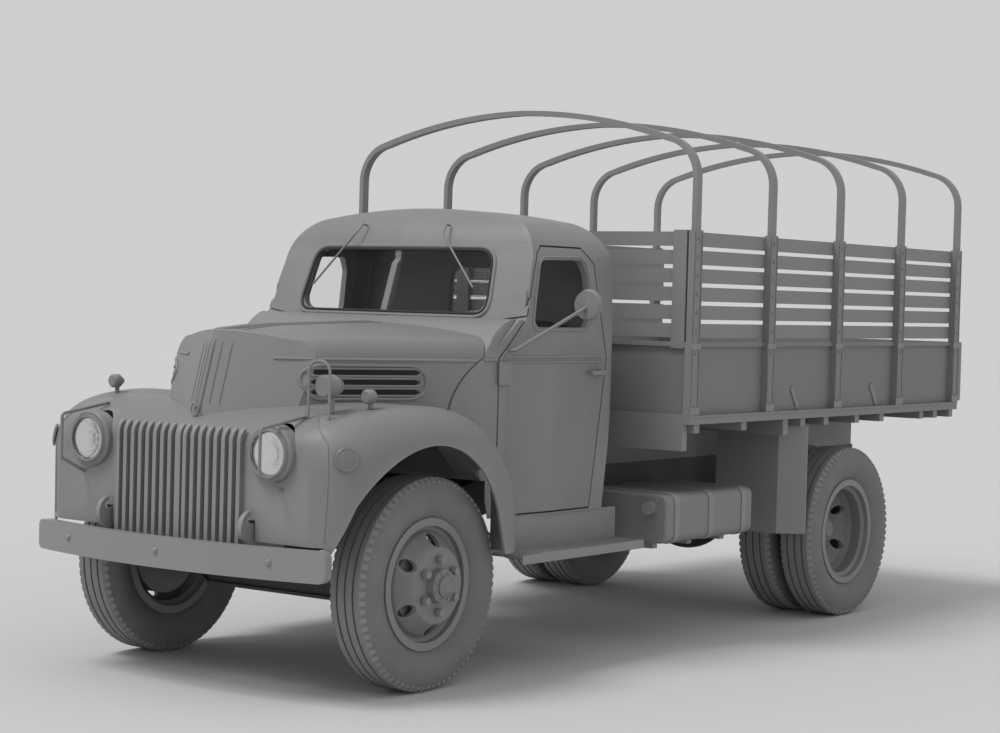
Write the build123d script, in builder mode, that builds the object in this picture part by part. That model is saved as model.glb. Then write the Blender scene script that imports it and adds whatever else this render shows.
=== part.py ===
import os
from math import cos, radians, sin

from build123d import *

# A one and a half ton military cargo truck with two axles and twin rear wheels.
# The front faces -Y, the driver sits at +X and the ground is Z = 0. Sizes are in millimetres.
# The origin is on the ground under the middle of the truck's box.

# Driving sizes: lengths along the truck are counted back from the front axle.
wheelbase = 3404
front_reach = 790
rear_reach = 4705
axle_y = front_reach - (front_reach + rear_reach) / 2

# Running gap round doors, lid and tailgate, and the air left between neighbours on one body.
door_gap = 8
seat_gap = 0.3

# Wheels and tyres
tyre_radius = 452
tyre_width = 205
tread_width = 168
bead_radius = 256
flange_radius = 280
rim_width = 150
rim_wall = 9
disc_offset = 125
disc_wall = 11
disc_gap = 0.5
front_track_half = 742
rear_track_half = 810
twin_spacing = 250
hand_holes = 6
hand_hole_radius = 27
hand_hole_circle = 188
nut_circle = 111
hub_radius = 72
drum_radius = 190
spindle_radius = 39.7
spindle_bore = 40

# Ladder frame
rail_half = 400
rail_height = 180
rail_flange = 66
rail_wall = 7
rail_top = 842
rail_front_drop = 118
horn_top = 668
spring_half = 366
spring_width = 57
spring_eye = 24

# Steering
king_pin_half = 610
knuckle_face = 670
steer_arm = 150

# Front sheet metal
sheet = 12
nose_reach = 655
clip_bottom = 560
seam_half = 790
grille_half = 372
grille_bars = 17
bar_width = 20
bar_depth = 22
grille_bottom = 640
grille_top = 1078
lamp_half = 523
lamp_z = 1012
lamp_radius = 118
ring_radius = 101

# Hood
hood_tip = 580
hood_front_half = 300
hood_rear_half = 742
hood_belt = 1392
hood_top = 1535
hood_front_top = 1494
hood_rear = 640
shoulder = 104

# Cab
cab_half = 800
door_front = 545
door_rear = 1323
cab_bottom = 690
belt = 1396
roof_top = 2076
cab_rear = 1412
cab_wall = 32
glass_wall = 6
floor_z = 858
floor_wall = 24
firewall_y = 436

# Cargo bed
bed_half = 1049
panel_half = 1029
bed_front = 1680
bed_rear = 4665
sill_low = 1083
sill_high = 1126
panel_top = 1475
rack_top = 2009
sheet_bed = 6
post_width = 74
post_depth = 34
post_wall = 4
post_count = 5
slat_count = 6
slat_height = 68
slat_wall = 20
bow_top = 2602
bow_width = 46
bow_depth = 24
headboard_low = 955
gate_wall = 34

# Places that follow from the sizes above
rear_axle_y = axle_y + wheelbase
wheel_z = tyre_radius
bed_length = bed_rear - bed_front

os.makedirs("parts", exist_ok=True)


def aft(distance):
    """The Y of a place this far behind the front axle."""
    return axle_y + distance


def save(piece, label):
    piece.part.label = label
    export_step(piece.part, f"parts/{label}.step")


def side_plane(x):
    """A plane at this X whose first axis is Y and second is Z."""
    return Plane(origin=(x, 0, 0), x_dir=(0, 1, 0), z_dir=(1, 0, 0))


def front_plane(y):
    """A plane at this Y whose first axis is X and second is Z; it extrudes towards the front."""
    return Plane(origin=(0, y, 0), x_dir=(1, 0, 0), z_dir=(0, -1, 0))


def wheel_plane(y):
    """A plane through a wheel's axle: first axis X, second axis the radius."""
    return Plane(origin=(0, y, wheel_z), x_dir=(1, 0, 0), z_dir=(0, -1, 0))


def axle_line(y):
    return Axis((0, y, wheel_z), (1, 0, 0))


# Wheels. Each is drawn as a half section beside its axle and turned about it.
def tyre_solid(x, y):
    """One tyre with its middle at x: bead, bulged wall, shoulder and tread with three grooves."""
    half = tyre_width / 2
    bead = rim_width / 2 - rim_wall - seat_gap
    inner = bead_radius + seat_gap
    tread = tread_width / 2
    groove = 5
    groove_depth = 9
    with BuildPart(mode=Mode.PRIVATE) as tyre:
        with BuildSketch(wheel_plane(y)):
            with BuildLine():
                left = Line((x - bead, inner), (x - bead, flange_radius + 3))
                wall = ThreePointArc(left @ 1, (x - half, 362), (x - tread, tyre_radius - 12))
                points = [wall @ 1, (x - tread + 14, tyre_radius)]
                for middle in (-42, 0, 42):
                    points.append((x + middle - groove, tyre_radius))
                    points.append((x + middle - groove, tyre_radius - groove_depth))
                    points.append((x + middle + groove, tyre_radius - groove_depth))
                    points.append((x + middle + groove, tyre_radius))
                points.append((x + tread - 14, tyre_radius))
                points.append((x + tread, tyre_radius - 12))
                Polyline(*points)
                ThreePointArc(points[-1], (x + half, 362), (x + bead, flange_radius + 3))
                Line((x + bead, flange_radius + 3), (x + bead, inner))
                Line((x + bead, inner), (x - bead, inner))
            make_face()
        revolve(axis=axle_line(y))
    return tyre.part


def rim_solid(x, y, out):
    """One pressed rim with its dished disc; out is the side, +1 or -1, that the disc bulges to."""
    half = rim_width / 2
    lip = half - rim_wall
    face = disc_offset - disc_gap / 2
    barrel = [(half, flange_radius), (lip, flange_radius), (lip, bead_radius), (46, bead_radius - 4),
              (34, 236), (-34, 236), (-46, bead_radius - 4), (-lip, bead_radius), (-lip, flange_radius),
              (-half, flange_radius), (-half, bead_radius - rim_wall), (-52, bead_radius - 13), (-40, 226)]
    dish = [(16, 226), (52, 208), (92, 168), (face - disc_wall, 152), (face - disc_wall, hub_radius),
            (face, hub_radius), (face, 160), (face - 18, 178), (66, 214), (46, 226), (54, bead_radius - 13),
            (half, bead_radius - rim_wall)]
    with BuildPart(mode=Mode.PRIVATE) as rim:
        with BuildSketch(wheel_plane(y)):
            with BuildLine():
                Polyline(*[(x + out * a, r) for a, r in barrel + dish], close=True)
            make_face()
        revolve(axis=axle_line(y))
        with BuildSketch(Plane(origin=(x, y, wheel_z), x_dir=(0, 1, 0), z_dir=(out, 0, 0))):
            with PolarLocations(hand_hole_circle, hand_holes, start_angle=30):
                Circle(hand_hole_radius)
        extrude(amount=disc_offset, mode=Mode.SUBTRACT)
    return rim.part


def hub_solid(x, y, out, face, cap_reach, cap_radius):
    """Hub with its bolting flange at the disc's inner face, pilot, cap and brake drum."""
    back = face - disc_wall - 24
    profile = [(-22, spindle_bore), (-22, drum_radius), (58, drum_radius), (66, 120), (back, 100), (back, 140),
               (face - disc_wall - seat_gap, 140), (face - disc_wall - seat_gap, hub_radius - seat_gap),
               (face + 34, hub_radius - seat_gap), (face + 40, cap_radius), (face + cap_reach - 14, cap_radius),
               (face + cap_reach, cap_radius - 22), (face + cap_reach, 0), (60, 0), (60, spindle_bore)]
    with BuildPart(mode=Mode.PRIVATE) as hub:
        with BuildSketch(wheel_plane(y)):
            with BuildLine():
                Polyline(*[(x + out * a, r) for a, r in profile], close=True)
            make_face()
        revolve(axis=axle_line(y))
    return hub.part


sides = {"left": 1, "right": -1}
plain_tyre = tyre_solid(0, 0)
plain_rims = {1: rim_solid(0, 0, 1), -1: rim_solid(0, 0, -1)}
for side, sign in sides.items():
    front_x = sign * front_track_half
    with BuildPart() as tyre:
        add(Pos(front_x, axle_y, 0) * plain_tyre)
    save(tyre, f"tyre_front_{side}")
    with BuildPart() as rim:
        add(Pos(front_x, axle_y, 0) * plain_rims[sign])
    save(rim, f"rim_front_{side}")
    with BuildPart() as hub:
        add(hub_solid(front_x, axle_y, sign, disc_offset, 62, 46))
    save(hub, f"hub_front_{side}")

    outer_x = sign * (rear_track_half + twin_spacing / 2)
    inner_x = sign * (rear_track_half - twin_spacing / 2)
    with BuildPart() as tyres:
        add(Pos(outer_x, rear_axle_y, 0) * plain_tyre)
        add(Pos(inner_x, rear_axle_y, 0) * plain_tyre)
    save(tyres, f"tyres_rear_{side}")
    with BuildPart() as rims:
        add(Pos(outer_x, rear_axle_y, 0) * plain_rims[-sign])
        add(Pos(inner_x, rear_axle_y, 0) * plain_rims[sign])
    save(rims, f"rims_rear_{side}")
    with BuildPart() as hub:
        add(hub_solid(inner_x, rear_axle_y, sign, disc_offset, 96, 60))
    save(hub, f"hub_rear_{side}")


# Chassis frame: two channel rails that drop to the front horns, tied by cross members.
radiator_y = -440
rail_bend_rear = 1000
rail_bend_front = 470
rail_front_top = rail_top - rail_front_drop
rail_front_low = rail_front_top - 150
rail_outline = [(bed_rear - 40, rail_top), (rail_bend_rear, rail_top), (rail_bend_front, rail_front_top),
                (-250, rail_front_top), (-nose_reach + 20, horn_top), (-nose_reach + 20, rail_front_low),
                (rail_bend_front, rail_front_low),
                (rail_bend_rear, rail_top - rail_height), (bed_rear - 500, rail_top - rail_height),
                (bed_rear - 40, rail_top - 110)]
cross_members = [(-560, rail_front_low + 10, horn_top - 12), (radiator_y, rail_front_low + 10, 668), (60, rail_front_low + 6, 632),
                 (1150, 762, rail_top - 12), (1700, 682, rail_top - 12), (2700, 682, rail_top - 12),
                 (4180, 682, rail_top - 12), (4570, 750, rail_top - 12)]

with BuildPart() as frame:
    for sign in sides.values():
        with BuildSketch(side_plane(sign * rail_half)) as web:
            with BuildLine():
                Polyline(*[(aft(y), z) for y, z in rail_outline], close=True)
            make_face()
        extrude(amount=-sign * rail_wall)
        with BuildSketch(side_plane(sign * rail_half)) as flanges:
            add(web.sketch_local)
            offset(web.sketch_local, amount=-rail_wall, mode=Mode.SUBTRACT)
        extrude(amount=-sign * rail_flange)
    for place, low, high in cross_members:
        with BuildSketch(front_plane(aft(place))):
            with Locations((0, (low + high) / 2)):
                Rectangle(2 * (rail_half - rail_wall), high - low)
        extrude(amount=rail_wall)
    for sign in sides.values():
        with BuildSketch(side_plane(sign * (rail_half - 34))):
            with BuildLine():
                Polyline((aft(-560), rail_front_low + 2), (aft(-560), 626), (aft(-front_reach + 31), 620),
                         (aft(-front_reach + 31), rail_front_low + 2), close=True)
            make_face()
        extrude(amount=-sign * 14)
save(frame, "frame")

# Axles, springs and the drive line
axle_low = 330
with BuildPart() as front_axle:
    beam = [(0, axle_low + 42), (spring_half - 60, axle_low + 42), (spring_half + 70, axle_low + 42),
            (king_pin_half - 60, wheel_z), (king_pin_half - 24, wheel_z)]
    with BuildSketch(front_plane(axle_y + 26)):
        with BuildLine():
            outline = [(x, z - 38) for x, z in beam] + [(x, z + 38) for x, z in reversed(beam)]
            Polyline(*outline, close=True)
        make_face()
        mirror(about=Plane.YZ)
    extrude(amount=52)
    for y, direction in ((axle_y - 26, 1), (axle_y + 26, -1)):
        with BuildSketch(Plane(origin=(0, y, 0), x_dir=(1, 0, 0), z_dir=(0, -1, 0))):
            with BuildLine():
                recess = [(x, z - 24) for x, z in beam[:-1]] + [(x, z + 24) for x, z in reversed(beam[:-1])]
                Polyline(*recess, close=True)
            make_face()
            mirror(about=Plane.YZ)
        extrude(amount=-direction * 19, mode=Mode.SUBTRACT)
    for sign in sides.values():
        with BuildSketch(Plane.XY.offset(wheel_z - 46)):
            with Locations((sign * king_pin_half, axle_y)):
                Circle(27)
        extrude(amount=92)
save(front_axle, "front_axle")


def spring_solid(x, middle, half_length, low, leaves, eye_z, leaf):
    """A leaf pack: each leaf shorter than the one above it, with an eye at both ends of the top one."""
    with BuildPart(mode=Mode.PRIVATE) as pack:
        with BuildSketch(side_plane(x - spring_width / 2)):
            for step in range(leaves):
                reach = half_length * (0.28 + 0.72 * step / (leaves - 1))
                base = low + step * leaf
                rise = (eye_z - low - leaves * leaf) * (reach / half_length) ** 2
                with BuildLine():
                    ThreePointArc((middle - reach, base + rise), (middle, base), (middle + reach, base + rise))
                    Line((middle + reach, base + rise), (middle + reach, base + rise + leaf))
                    ThreePointArc((middle + reach, base + rise + leaf), (middle, base + leaf),
                                  (middle - reach, base + rise + leaf))
                    Line((middle - reach, base + rise + leaf), (middle - reach, base + rise))
                make_face()
            with Locations((middle - half_length, eye_z), (middle + half_length, eye_z)):
                Circle(spring_eye)
        extrude(amount=spring_width)
    return pack.part


front_pad_z = axle_low + 80 + seat_gap
with BuildPart() as front_springs:
    for sign in sides.values():
        add(spring_solid(sign * spring_half, aft(0), 430, front_pad_z, 6, rail_front_low - spring_eye - seat_gap, 9))
save(front_springs, "front_springs")

axle_tube = 52
rear_pad_z = wheel_z + axle_tube + seat_gap
with BuildPart() as rear_springs:
    for sign in sides.values():
        add(spring_solid(sign * spring_half, rear_axle_y, 610, rear_pad_z, 9,
                         rail_top - rail_height - spring_eye - seat_gap, 10))
save(rear_springs, "rear_springs")

with BuildPart() as rear_axle:
    with BuildSketch(wheel_plane(rear_axle_y)):
        with BuildLine():
            tube_end = rear_track_half - twin_spacing / 2 + 30
            Polyline((-tube_end, 0), (-tube_end, spindle_radius), (-tube_end + 60, spindle_radius),
                     (-tube_end + 64, axle_tube),
                     (-230, axle_tube))
            ThreePointArc((-230, axle_tube), (0, 178), (230, axle_tube))
            Polyline((230, axle_tube), (tube_end - 64, axle_tube), (tube_end - 60, spindle_radius),
                     (tube_end, spindle_radius), (tube_end, 0), (-tube_end, 0))
        make_face()
    revolve(axis=axle_line(rear_axle_y))
    with BuildSketch(Plane(origin=(0, rear_axle_y - 120, wheel_z), x_dir=(1, 0, 0), z_dir=(0, -1, 0))):
        Circle(96)
    extrude(amount=170, taper=12)
save(rear_axle, "rear_axle")

engine_front = -340
engine_rear = 400
gearbox_rear = 1080
with BuildPart() as engine_block:
    with BuildSketch(front_plane(aft(engine_rear))):
        with BuildLine():
            Polyline((-150, 640), (150, 640), (150, 780), (270, 1080), (90, 1160), (-90, 1160), (-270, 1080),
                     (-150, 780), close=True)
        make_face()
    extrude(amount=engine_rear - engine_front)
    with BuildSketch(front_plane(aft(engine_rear))):
        with Locations((0, 700)):
            Circle(135)
    extrude(amount=-160, taper=8)
    with BuildSketch(front_plane(aft(engine_rear + 160))):
        with Locations((0, 700)):
            RectangleRounded(210, 200, 30)
    extrude(amount=-(gearbox_rear - engine_rear - 160))
save(engine_block, "engine_block")

shaft_start = Vector(0, aft(gearbox_rear), 700)
shaft_end = Vector(0, rear_axle_y - 290, wheel_z)
shaft_run = shaft_end - shaft_start
with BuildPart() as drive_shaft:
    with BuildSketch(Plane(origin=shaft_start, z_dir=shaft_run)):
        Circle(44)
    extrude(amount=shaft_run.length)
    add(engine_block.part, mode=Mode.SUBTRACT)
    add(rear_axle.part, mode=Mode.SUBTRACT)
save(drive_shaft, "drive_shaft")

with BuildPart() as radiator:
    with BuildSketch(Plane.XY.offset(668 + seat_gap)):
        with Locations((0, aft(radiator_y))):
            RectangleRounded(600, 90, 20)
    extrude(amount=430)
save(radiator, "radiator")

# Knuckles turn on the king pins and carry the front wheels; a tie rod joins their arms.
arm_y = axle_y + steer_arm
arm_x = king_pin_half
for side, sign in sides.items():
    pin_x = sign * king_pin_half
    with BuildPart() as knuckle:
        for low, high in ((wheel_z - 82, wheel_z - 46 - seat_gap), (wheel_z + 46 + seat_gap, wheel_z + 82)):
            with BuildSketch(Plane.XY.offset(low)):
                with Locations((pin_x, axle_y)):
                    Circle(30)
                with Locations((pin_x + sign * (knuckle_face + 12 - king_pin_half) / 2, axle_y)):
                    Rectangle(knuckle_face + 12 - king_pin_half, 56)
            extrude(amount=high - low)
        with BuildSketch(side_plane(sign * knuckle_face)):
            with Locations((axle_y, wheel_z)):
                Circle(84)
        extrude(amount=sign * 12)
        with BuildSketch(side_plane(sign * knuckle_face)):
            with Locations((axle_y, wheel_z)):
                Circle(spindle_radius)
        extrude(amount=sign * 120)
        with BuildSketch(Plane.XY.offset(wheel_z - 82)):
            with BuildLine():
                Polyline((pin_x - sign * 20, axle_y + 10), (pin_x + sign * 24, axle_y + 10),
                         (sign * arm_x + sign * 22, arm_y), (sign * arm_x + sign * 22, arm_y + 22),
                         (sign * arm_x - sign * 22, arm_y + 22), (sign * arm_x - sign * 22, arm_y), close=True)
            make_face()
        extrude(amount=24)
        with BuildSketch(Plane.XY.offset(wheel_z - 82 - 40)):
            with Locations((sign * arm_x, arm_y)):
                Circle(8)
        extrude(amount=41)
    save(knuckle, f"knuckle_{side}")

with BuildPart() as tie_rod:
    rod_z = wheel_z - 82 - 24
    with BuildSketch(side_plane(-arm_x)):
        with Locations((arm_y, rod_z)):
            Circle(14)
    extrude(amount=2 * arm_x)
    for sign in sides.values():
        with BuildSketch(Plane.XY.offset(rod_z - 20)):
            with Locations((sign * arm_x, arm_y)):
                Circle(22)
        extrude(amount=40)
    for sign in sides.values():
        with BuildSketch(Plane.XY.offset(rod_z - 20)):
            with Locations((sign * arm_x, arm_y)):
                Circle(8.1)
        extrude(amount=40, mode=Mode.SUBTRACT)
save(tie_rod, "tie_rod")

# Bumper: a pressed channel, bowed forward and swept back at its ends, with two tow hooks behind it.
bumper_half = 830
bumper_low = 512
bumper_height = 128
bumper_wall = 8
bumper_bow = 112
bumper_depth = 50
with BuildPart() as front_bumper:
    tip_y = aft(-front_reach + bumper_bow)
    with BuildSketch(Plane.XY.offset(bumper_low)):
        with BuildLine():
            ThreePointArc((-bumper_half, tip_y), (0, aft(-front_reach)), (bumper_half, tip_y))
            Line((bumper_half, tip_y), (bumper_half - 8, tip_y + bumper_depth))
            ThreePointArc((bumper_half - 8, tip_y + bumper_depth), (0, aft(-front_reach + bumper_depth)),
                          (-bumper_half + 8, tip_y + bumper_depth))
            Line((-bumper_half + 8, tip_y + bumper_depth), (-bumper_half, tip_y))
        make_face()
    extrude(amount=bumper_height)
    ends = front_bumper.faces().sort_by(Axis.X)
    fillet([e for f in (ends[0], ends[-1]) for e in f.edges().filter_by(Axis.Z, reverse=True)], radius=30)
    with BuildSketch(Plane.XY.offset(bumper_low + bumper_wall)):
        with BuildLine():
            ThreePointArc((-bumper_half + 20, tip_y + bumper_wall), (0, aft(-front_reach + bumper_wall)),
                          (bumper_half - 20, tip_y + bumper_wall))
            Line((bumper_half - 20, tip_y + bumper_wall), (bumper_half - 20, tip_y + 90))
            ThreePointArc((bumper_half - 20, tip_y + 90), (0, aft(-front_reach + 90)),
                          (-bumper_half + 20, tip_y + 90))
            Line((-bumper_half + 20, tip_y + 90), (-bumper_half + 20, tip_y + bumper_wall))
        make_face()
    extrude(amount=bumper_height - 2 * bumper_wall, mode=Mode.SUBTRACT)
save(front_bumper, "front_bumper")

hook_half = 401
hook_wall = 22
with BuildPart() as tow_hooks:
    for sign in sides.values():
        with BuildSketch(side_plane(sign * (hook_half + seat_gap - 1))):
            with BuildLine():
                hook_y = aft(-nose_reach - 10)
                Polyline((aft(-470), horn_top - 62), (aft(-470), horn_top - 10), (hook_y + 40, horn_top - 4),
                         (hook_y + 40, horn_top + 52), (hook_y, horn_top + 52))
                ThreePointArc((hook_y, horn_top + 52), (hook_y - 28, horn_top + 64), (hook_y - 8, horn_top + 82))
                Line((hook_y - 8, horn_top + 82), (hook_y - 8, horn_top + 104))
                ThreePointArc((hook_y - 8, horn_top + 104), (hook_y - 56, horn_top + 66),
                              (hook_y - 30, horn_top - 20))
                Polyline((hook_y - 30, horn_top - 20), (hook_y, horn_top - 62), (aft(-470), horn_top - 62))
            make_face()
        extrude(amount=sign * hook_wall)
save(tow_hooks, "tow_hooks")

panel_bottom = bumper_low + bumper_height + door_gap

# Front sheet metal. Stations run from the nose to the fender's tail: distance behind the axle,
# half width, height of the crown, and the round between them.
clip_stations = [
    (-nose_reach, 700, 1040, 110),
    (-590, 830, 1120, 150),
    (-430, 915, 1175, 170),
    (-60, 950, 1203, 160),
    (170, 950, 1165, 150),
    (340, 940, 1062, 130),
    (440, 925, 920, 110),
    (488, 905, 740, 90),
]


def clip_loft(inward):
    """The whole front sheet metal as one smooth body, drawn this far inside its skin."""
    with BuildPart(mode=Mode.PRIVATE) as clip:
        for place, half, crown, bend in clip_stations:
            shift = inward if place < -600 else 0
            if place > 480:
                shift = -inward
            with BuildSketch(front_plane(aft(place + shift))):
                with BuildLine():
                    x = half - inward
                    z = crown - inward
                    r = bend
                    low = clip_bottom - (10 if inward > 0 else 0)
                    Line((-x, low), (x, low))
                    Line((x, low), (x, z - r))
                    RadiusArc((x, z - r), (x - r, z), -r)
                    Line((x - r, z), (-x + r, z))
                    RadiusArc((-x + r, z), (-x, z - r), -r)
                    Line((-x, z - r), (-x, low))
                make_face()
        loft()
    return clip.part


clip_skin = clip_loft(0)
clip_core = clip_loft(sheet)

# Openings of the front sheet metal: the engine bay from above, the wheel arches from the side.
with BuildPart() as engine_bay:
    with BuildSketch(Plane.XY.offset(clip_bottom - 20)):
        with BuildLine():
            bay = [(0, aft(-hood_tip + 34)), (hood_front_half + 40, aft(-372)), (hood_rear_half - 60, aft(470)),
                   (hood_rear_half - 60, aft(700)), (0, aft(700))]
            Polyline(*bay, close=True)
        make_face()
        mirror(about=Plane.YZ)
    extrude(amount=900)

with BuildPart() as arches:
    with BuildSketch(side_plane(-1000)):
        with BuildLine():
            Line((aft(-650), clip_bottom - 30), (aft(-540), 810))
            ThreePointArc((aft(-540), 810), (aft(-80), 1046), (aft(318), 750))
            Line((aft(318), 750), (aft(390), clip_bottom - 30))
            Line((aft(390), clip_bottom - 30), (aft(-650), clip_bottom - 30))
        make_face()
    extrude(amount=2000)

# The nose panel reaches out to a seam round the lamps; the fenders start there.
seam_rear = -330
with BuildPart() as seam:
    with BuildSketch(front_plane(aft(seam_rear))):
        with BuildLine():
            Line((0, 400), (seam_half - 20, 400))
            Line((seam_half - 20, 400), (seam_half, 1000))
            ThreePointArc((seam_half, 1000), (seam_half - 70, 1110), (seam_half - 250, 1190))
            Line((seam_half - 250, 1190), (seam_half - 400, 1400))
            Line((seam_half - 400, 1400), (0, 1400))
            Line((0, 1400), (0, 400))
        make_face()
        mirror(about=Plane.YZ)
    extrude(amount=900)

grille_pitch = 2 * grille_half / grille_bars
nose_y = aft(-nose_reach)
bar_back = sheet
bar_places = [(step - (grille_bars - 1) / 2) * grille_pitch for step in range(grille_bars)]
slot_places = [(step - grille_bars / 2 + 1) * grille_pitch for step in range(grille_bars - 1)]

with BuildPart() as front_panel:
    add(clip_skin)
    add(clip_core, mode=Mode.SUBTRACT)
    add(engine_bay.part, mode=Mode.SUBTRACT)
    add(arches.part, mode=Mode.SUBTRACT)
    add(seam.part, mode=Mode.INTERSECT)
    with BuildSketch(front_plane(nose_y + 40)):
        with Locations(*[(x, (grille_bottom + grille_top) / 2) for x in slot_places]):
            SlotOverall(grille_top - grille_bottom, grille_pitch - bar_width, rotation=90)
        with Locations((0, clip_bottom)):
            Rectangle(2 * seam_half, 2 * (panel_bottom - clip_bottom))
        with Locations((-hook_half - hook_wall / 2, horn_top), (hook_half + hook_wall / 2, horn_top)):
            Rectangle(hook_wall + 2 * door_gap, 130)
    extrude(amount=200, mode=Mode.SUBTRACT)
    with BuildSketch(front_plane(nose_y + 200)):
        with Locations((-lamp_half, lamp_z), (lamp_half, lamp_z)):
            Circle(lamp_radius + seat_gap)
    extrude(amount=300, mode=Mode.SUBTRACT)
    with BuildSketch(side_plane(0)) as bar_side:
        with BuildLine():
            Line((nose_y + bar_back, grille_bottom - 12), (nose_y - bar_depth, grille_bottom - 12))
            Line((nose_y - bar_depth, grille_bottom - 12), (nose_y - bar_depth, grille_top - 30))
            ThreePointArc((nose_y - bar_depth, grille_top - 30), (nose_y - bar_depth * 0.7, grille_top),
                          (nose_y + bar_back, grille_top + 26))
            Line((nose_y + bar_back, grille_top + 26), (nose_y + bar_back, grille_bottom - 12))
        make_face()
    for place in bar_places:
        with BuildSketch(side_plane(place - bar_width / 2)):
            add(bar_side.sketch_local)
        extrude(amount=bar_width)
save(front_panel, "front_panel")

# The fenders stop at the cab, whose outline from above is a short table: half width, distance behind the axle.
cab_plan = [(655, 230), (737, 440), (768, 600), (792, 860), (cab_half, 1080)]
with BuildPart() as cab_side:
    with BuildSketch(Plane.XY.offset(400)):
        with BuildLine():
            near = [(x + seat_gap, aft(y)) for x, y in cab_plan[:2]]
            Polyline((0, aft(230)), *near, (780, aft(441)), (780, aft(600)), (0, aft(600)), close=True)
        make_face()
    extrude(amount=1100)

with BuildPart() as fender:
    add(clip_skin)
    add(clip_core, mode=Mode.SUBTRACT)
    add(engine_bay.part, mode=Mode.SUBTRACT)
    add(arches.part, mode=Mode.SUBTRACT)
    add(seam.part, mode=Mode.SUBTRACT)
    add(cab_side.part, mode=Mode.SUBTRACT)
    with BuildSketch(Plane.XY.offset(400)):
        with Locations((700, aft(0))):
            Rectangle(2 * (700 - seat_gap), 2000)
    extrude(amount=1000, mode=Mode.INTERSECT)
save(fender, "fender_left")
with BuildPart() as fender_right:
    mirror(fender.part, about=Plane.YZ)
save(fender_right, "fender_right")

# Hood: a lid with a pointed prow, crowned top and upright sides, hinged at the cowl.
hood_stations = [(-640, 250, 1480), (-150, 462, 1520), (450, hood_rear_half, hood_top),
                 (hood_rear + 60, hood_rear_half + 12, hood_top + 4)]
hood_bottom = 1100
prow_rake = 14


def hood_form(inward):
    """The hood's outer body, drawn this far inside its skin."""
    with BuildPart(mode=Mode.PRIVATE) as form:
        for place, half, crown in hood_stations:
            x = half - inward
            bend = shoulder - inward
            with BuildSketch(front_plane(aft(place))):
                with BuildLine():
                    Line((-x, hood_bottom), (x, hood_bottom))
                    Line((x, hood_bottom), (x, crown - 42 - shoulder))
                    ThreePointArc((x, crown - 42 - shoulder),
                                  (x - bend * 0.293, crown - 42 - shoulder + bend * 0.707),
                                  (x - bend, crown - 42 - inward))
                    ThreePointArc((x - bend, crown - 42 - inward), (0, crown - inward),
                                  (-x + bend, crown - 42 - inward))
                    ThreePointArc((-x + bend, crown - 42 - inward),
                                  (-x + bend * 0.293, crown - 42 - shoulder + bend * 0.707),
                                  (-x, crown - 42 - shoulder))
                    Line((-x, crown - 42 - shoulder), (-x, hood_bottom))
                make_face()
        loft(ruled=True)
        with BuildSketch(Plane.XY.offset(hood_bottom - 20)):
            with BuildLine():
                tip = aft(-hood_tip - 10 + inward * 1.1)
                Polyline((0, tip), (hood_front_half + 130, tip + 240), (1000, tip + 500), (1000, aft(900)),
                         (-1000, aft(900)), (-1000, tip + 500), (-hood_front_half - 130, tip + 240), close=True)
            make_face()
        extrude(amount=520, taper=prow_rake, mode=Mode.INTERSECT)
    return form.part


# The joint between hood and cowl, seen from the side: distance behind the axle and height.
cowl_edge = [(300, 1000), (322, 1240), (450, belt), (500, 1478), (606, 1556)]


def cowl_curve(shift):
    """The joint line, moved aft by this much; it goes inside a BuildLine."""
    start, low, middle, high, end = [(aft(y + shift), z) for y, z in cowl_edge]
    ThreePointArc(start, low, middle)
    ThreePointArc(middle, high, end)


with BuildPart() as cowl_line:
    with BuildSketch(side_plane(-1100)):
        with BuildLine():
            cowl_curve(-door_gap)
            joint_low = (aft(cowl_edge[0][0] - door_gap), cowl_edge[0][1])
            joint_high = (aft(cowl_edge[-1][0] - door_gap), cowl_edge[-1][1])
            Polyline(joint_high, (joint_high[0], 1700), (aft(-900), 1700), (aft(-900), 1000), joint_low)
        make_face()
    extrude(amount=2200)

with BuildPart() as hood:
    add(hood_form(0))
    add(hood_form(sheet), mode=Mode.SUBTRACT)
    add(cowl_line.part, mode=Mode.INTERSECT)
    add(clip_loft(-seat_gap), mode=Mode.SUBTRACT)
save(hood, "hood")

# Cab: one closed form is drawn from the front, the side and above, then hollowed; doors are cut out of it.
screen_sweep = 5
screen_foot = (640, 1568)
screen_head = (752, 1894)
roof_bend = (840, 2018)
roof_ridge = (1130, roof_top)
cowl_half = 754


def sweep_way(sign):
    """The way the windshield runs out to one side, swept back from the middle."""
    return Vector(sign * cos(radians(screen_sweep)), sin(radians(screen_sweep)), 0)


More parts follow.
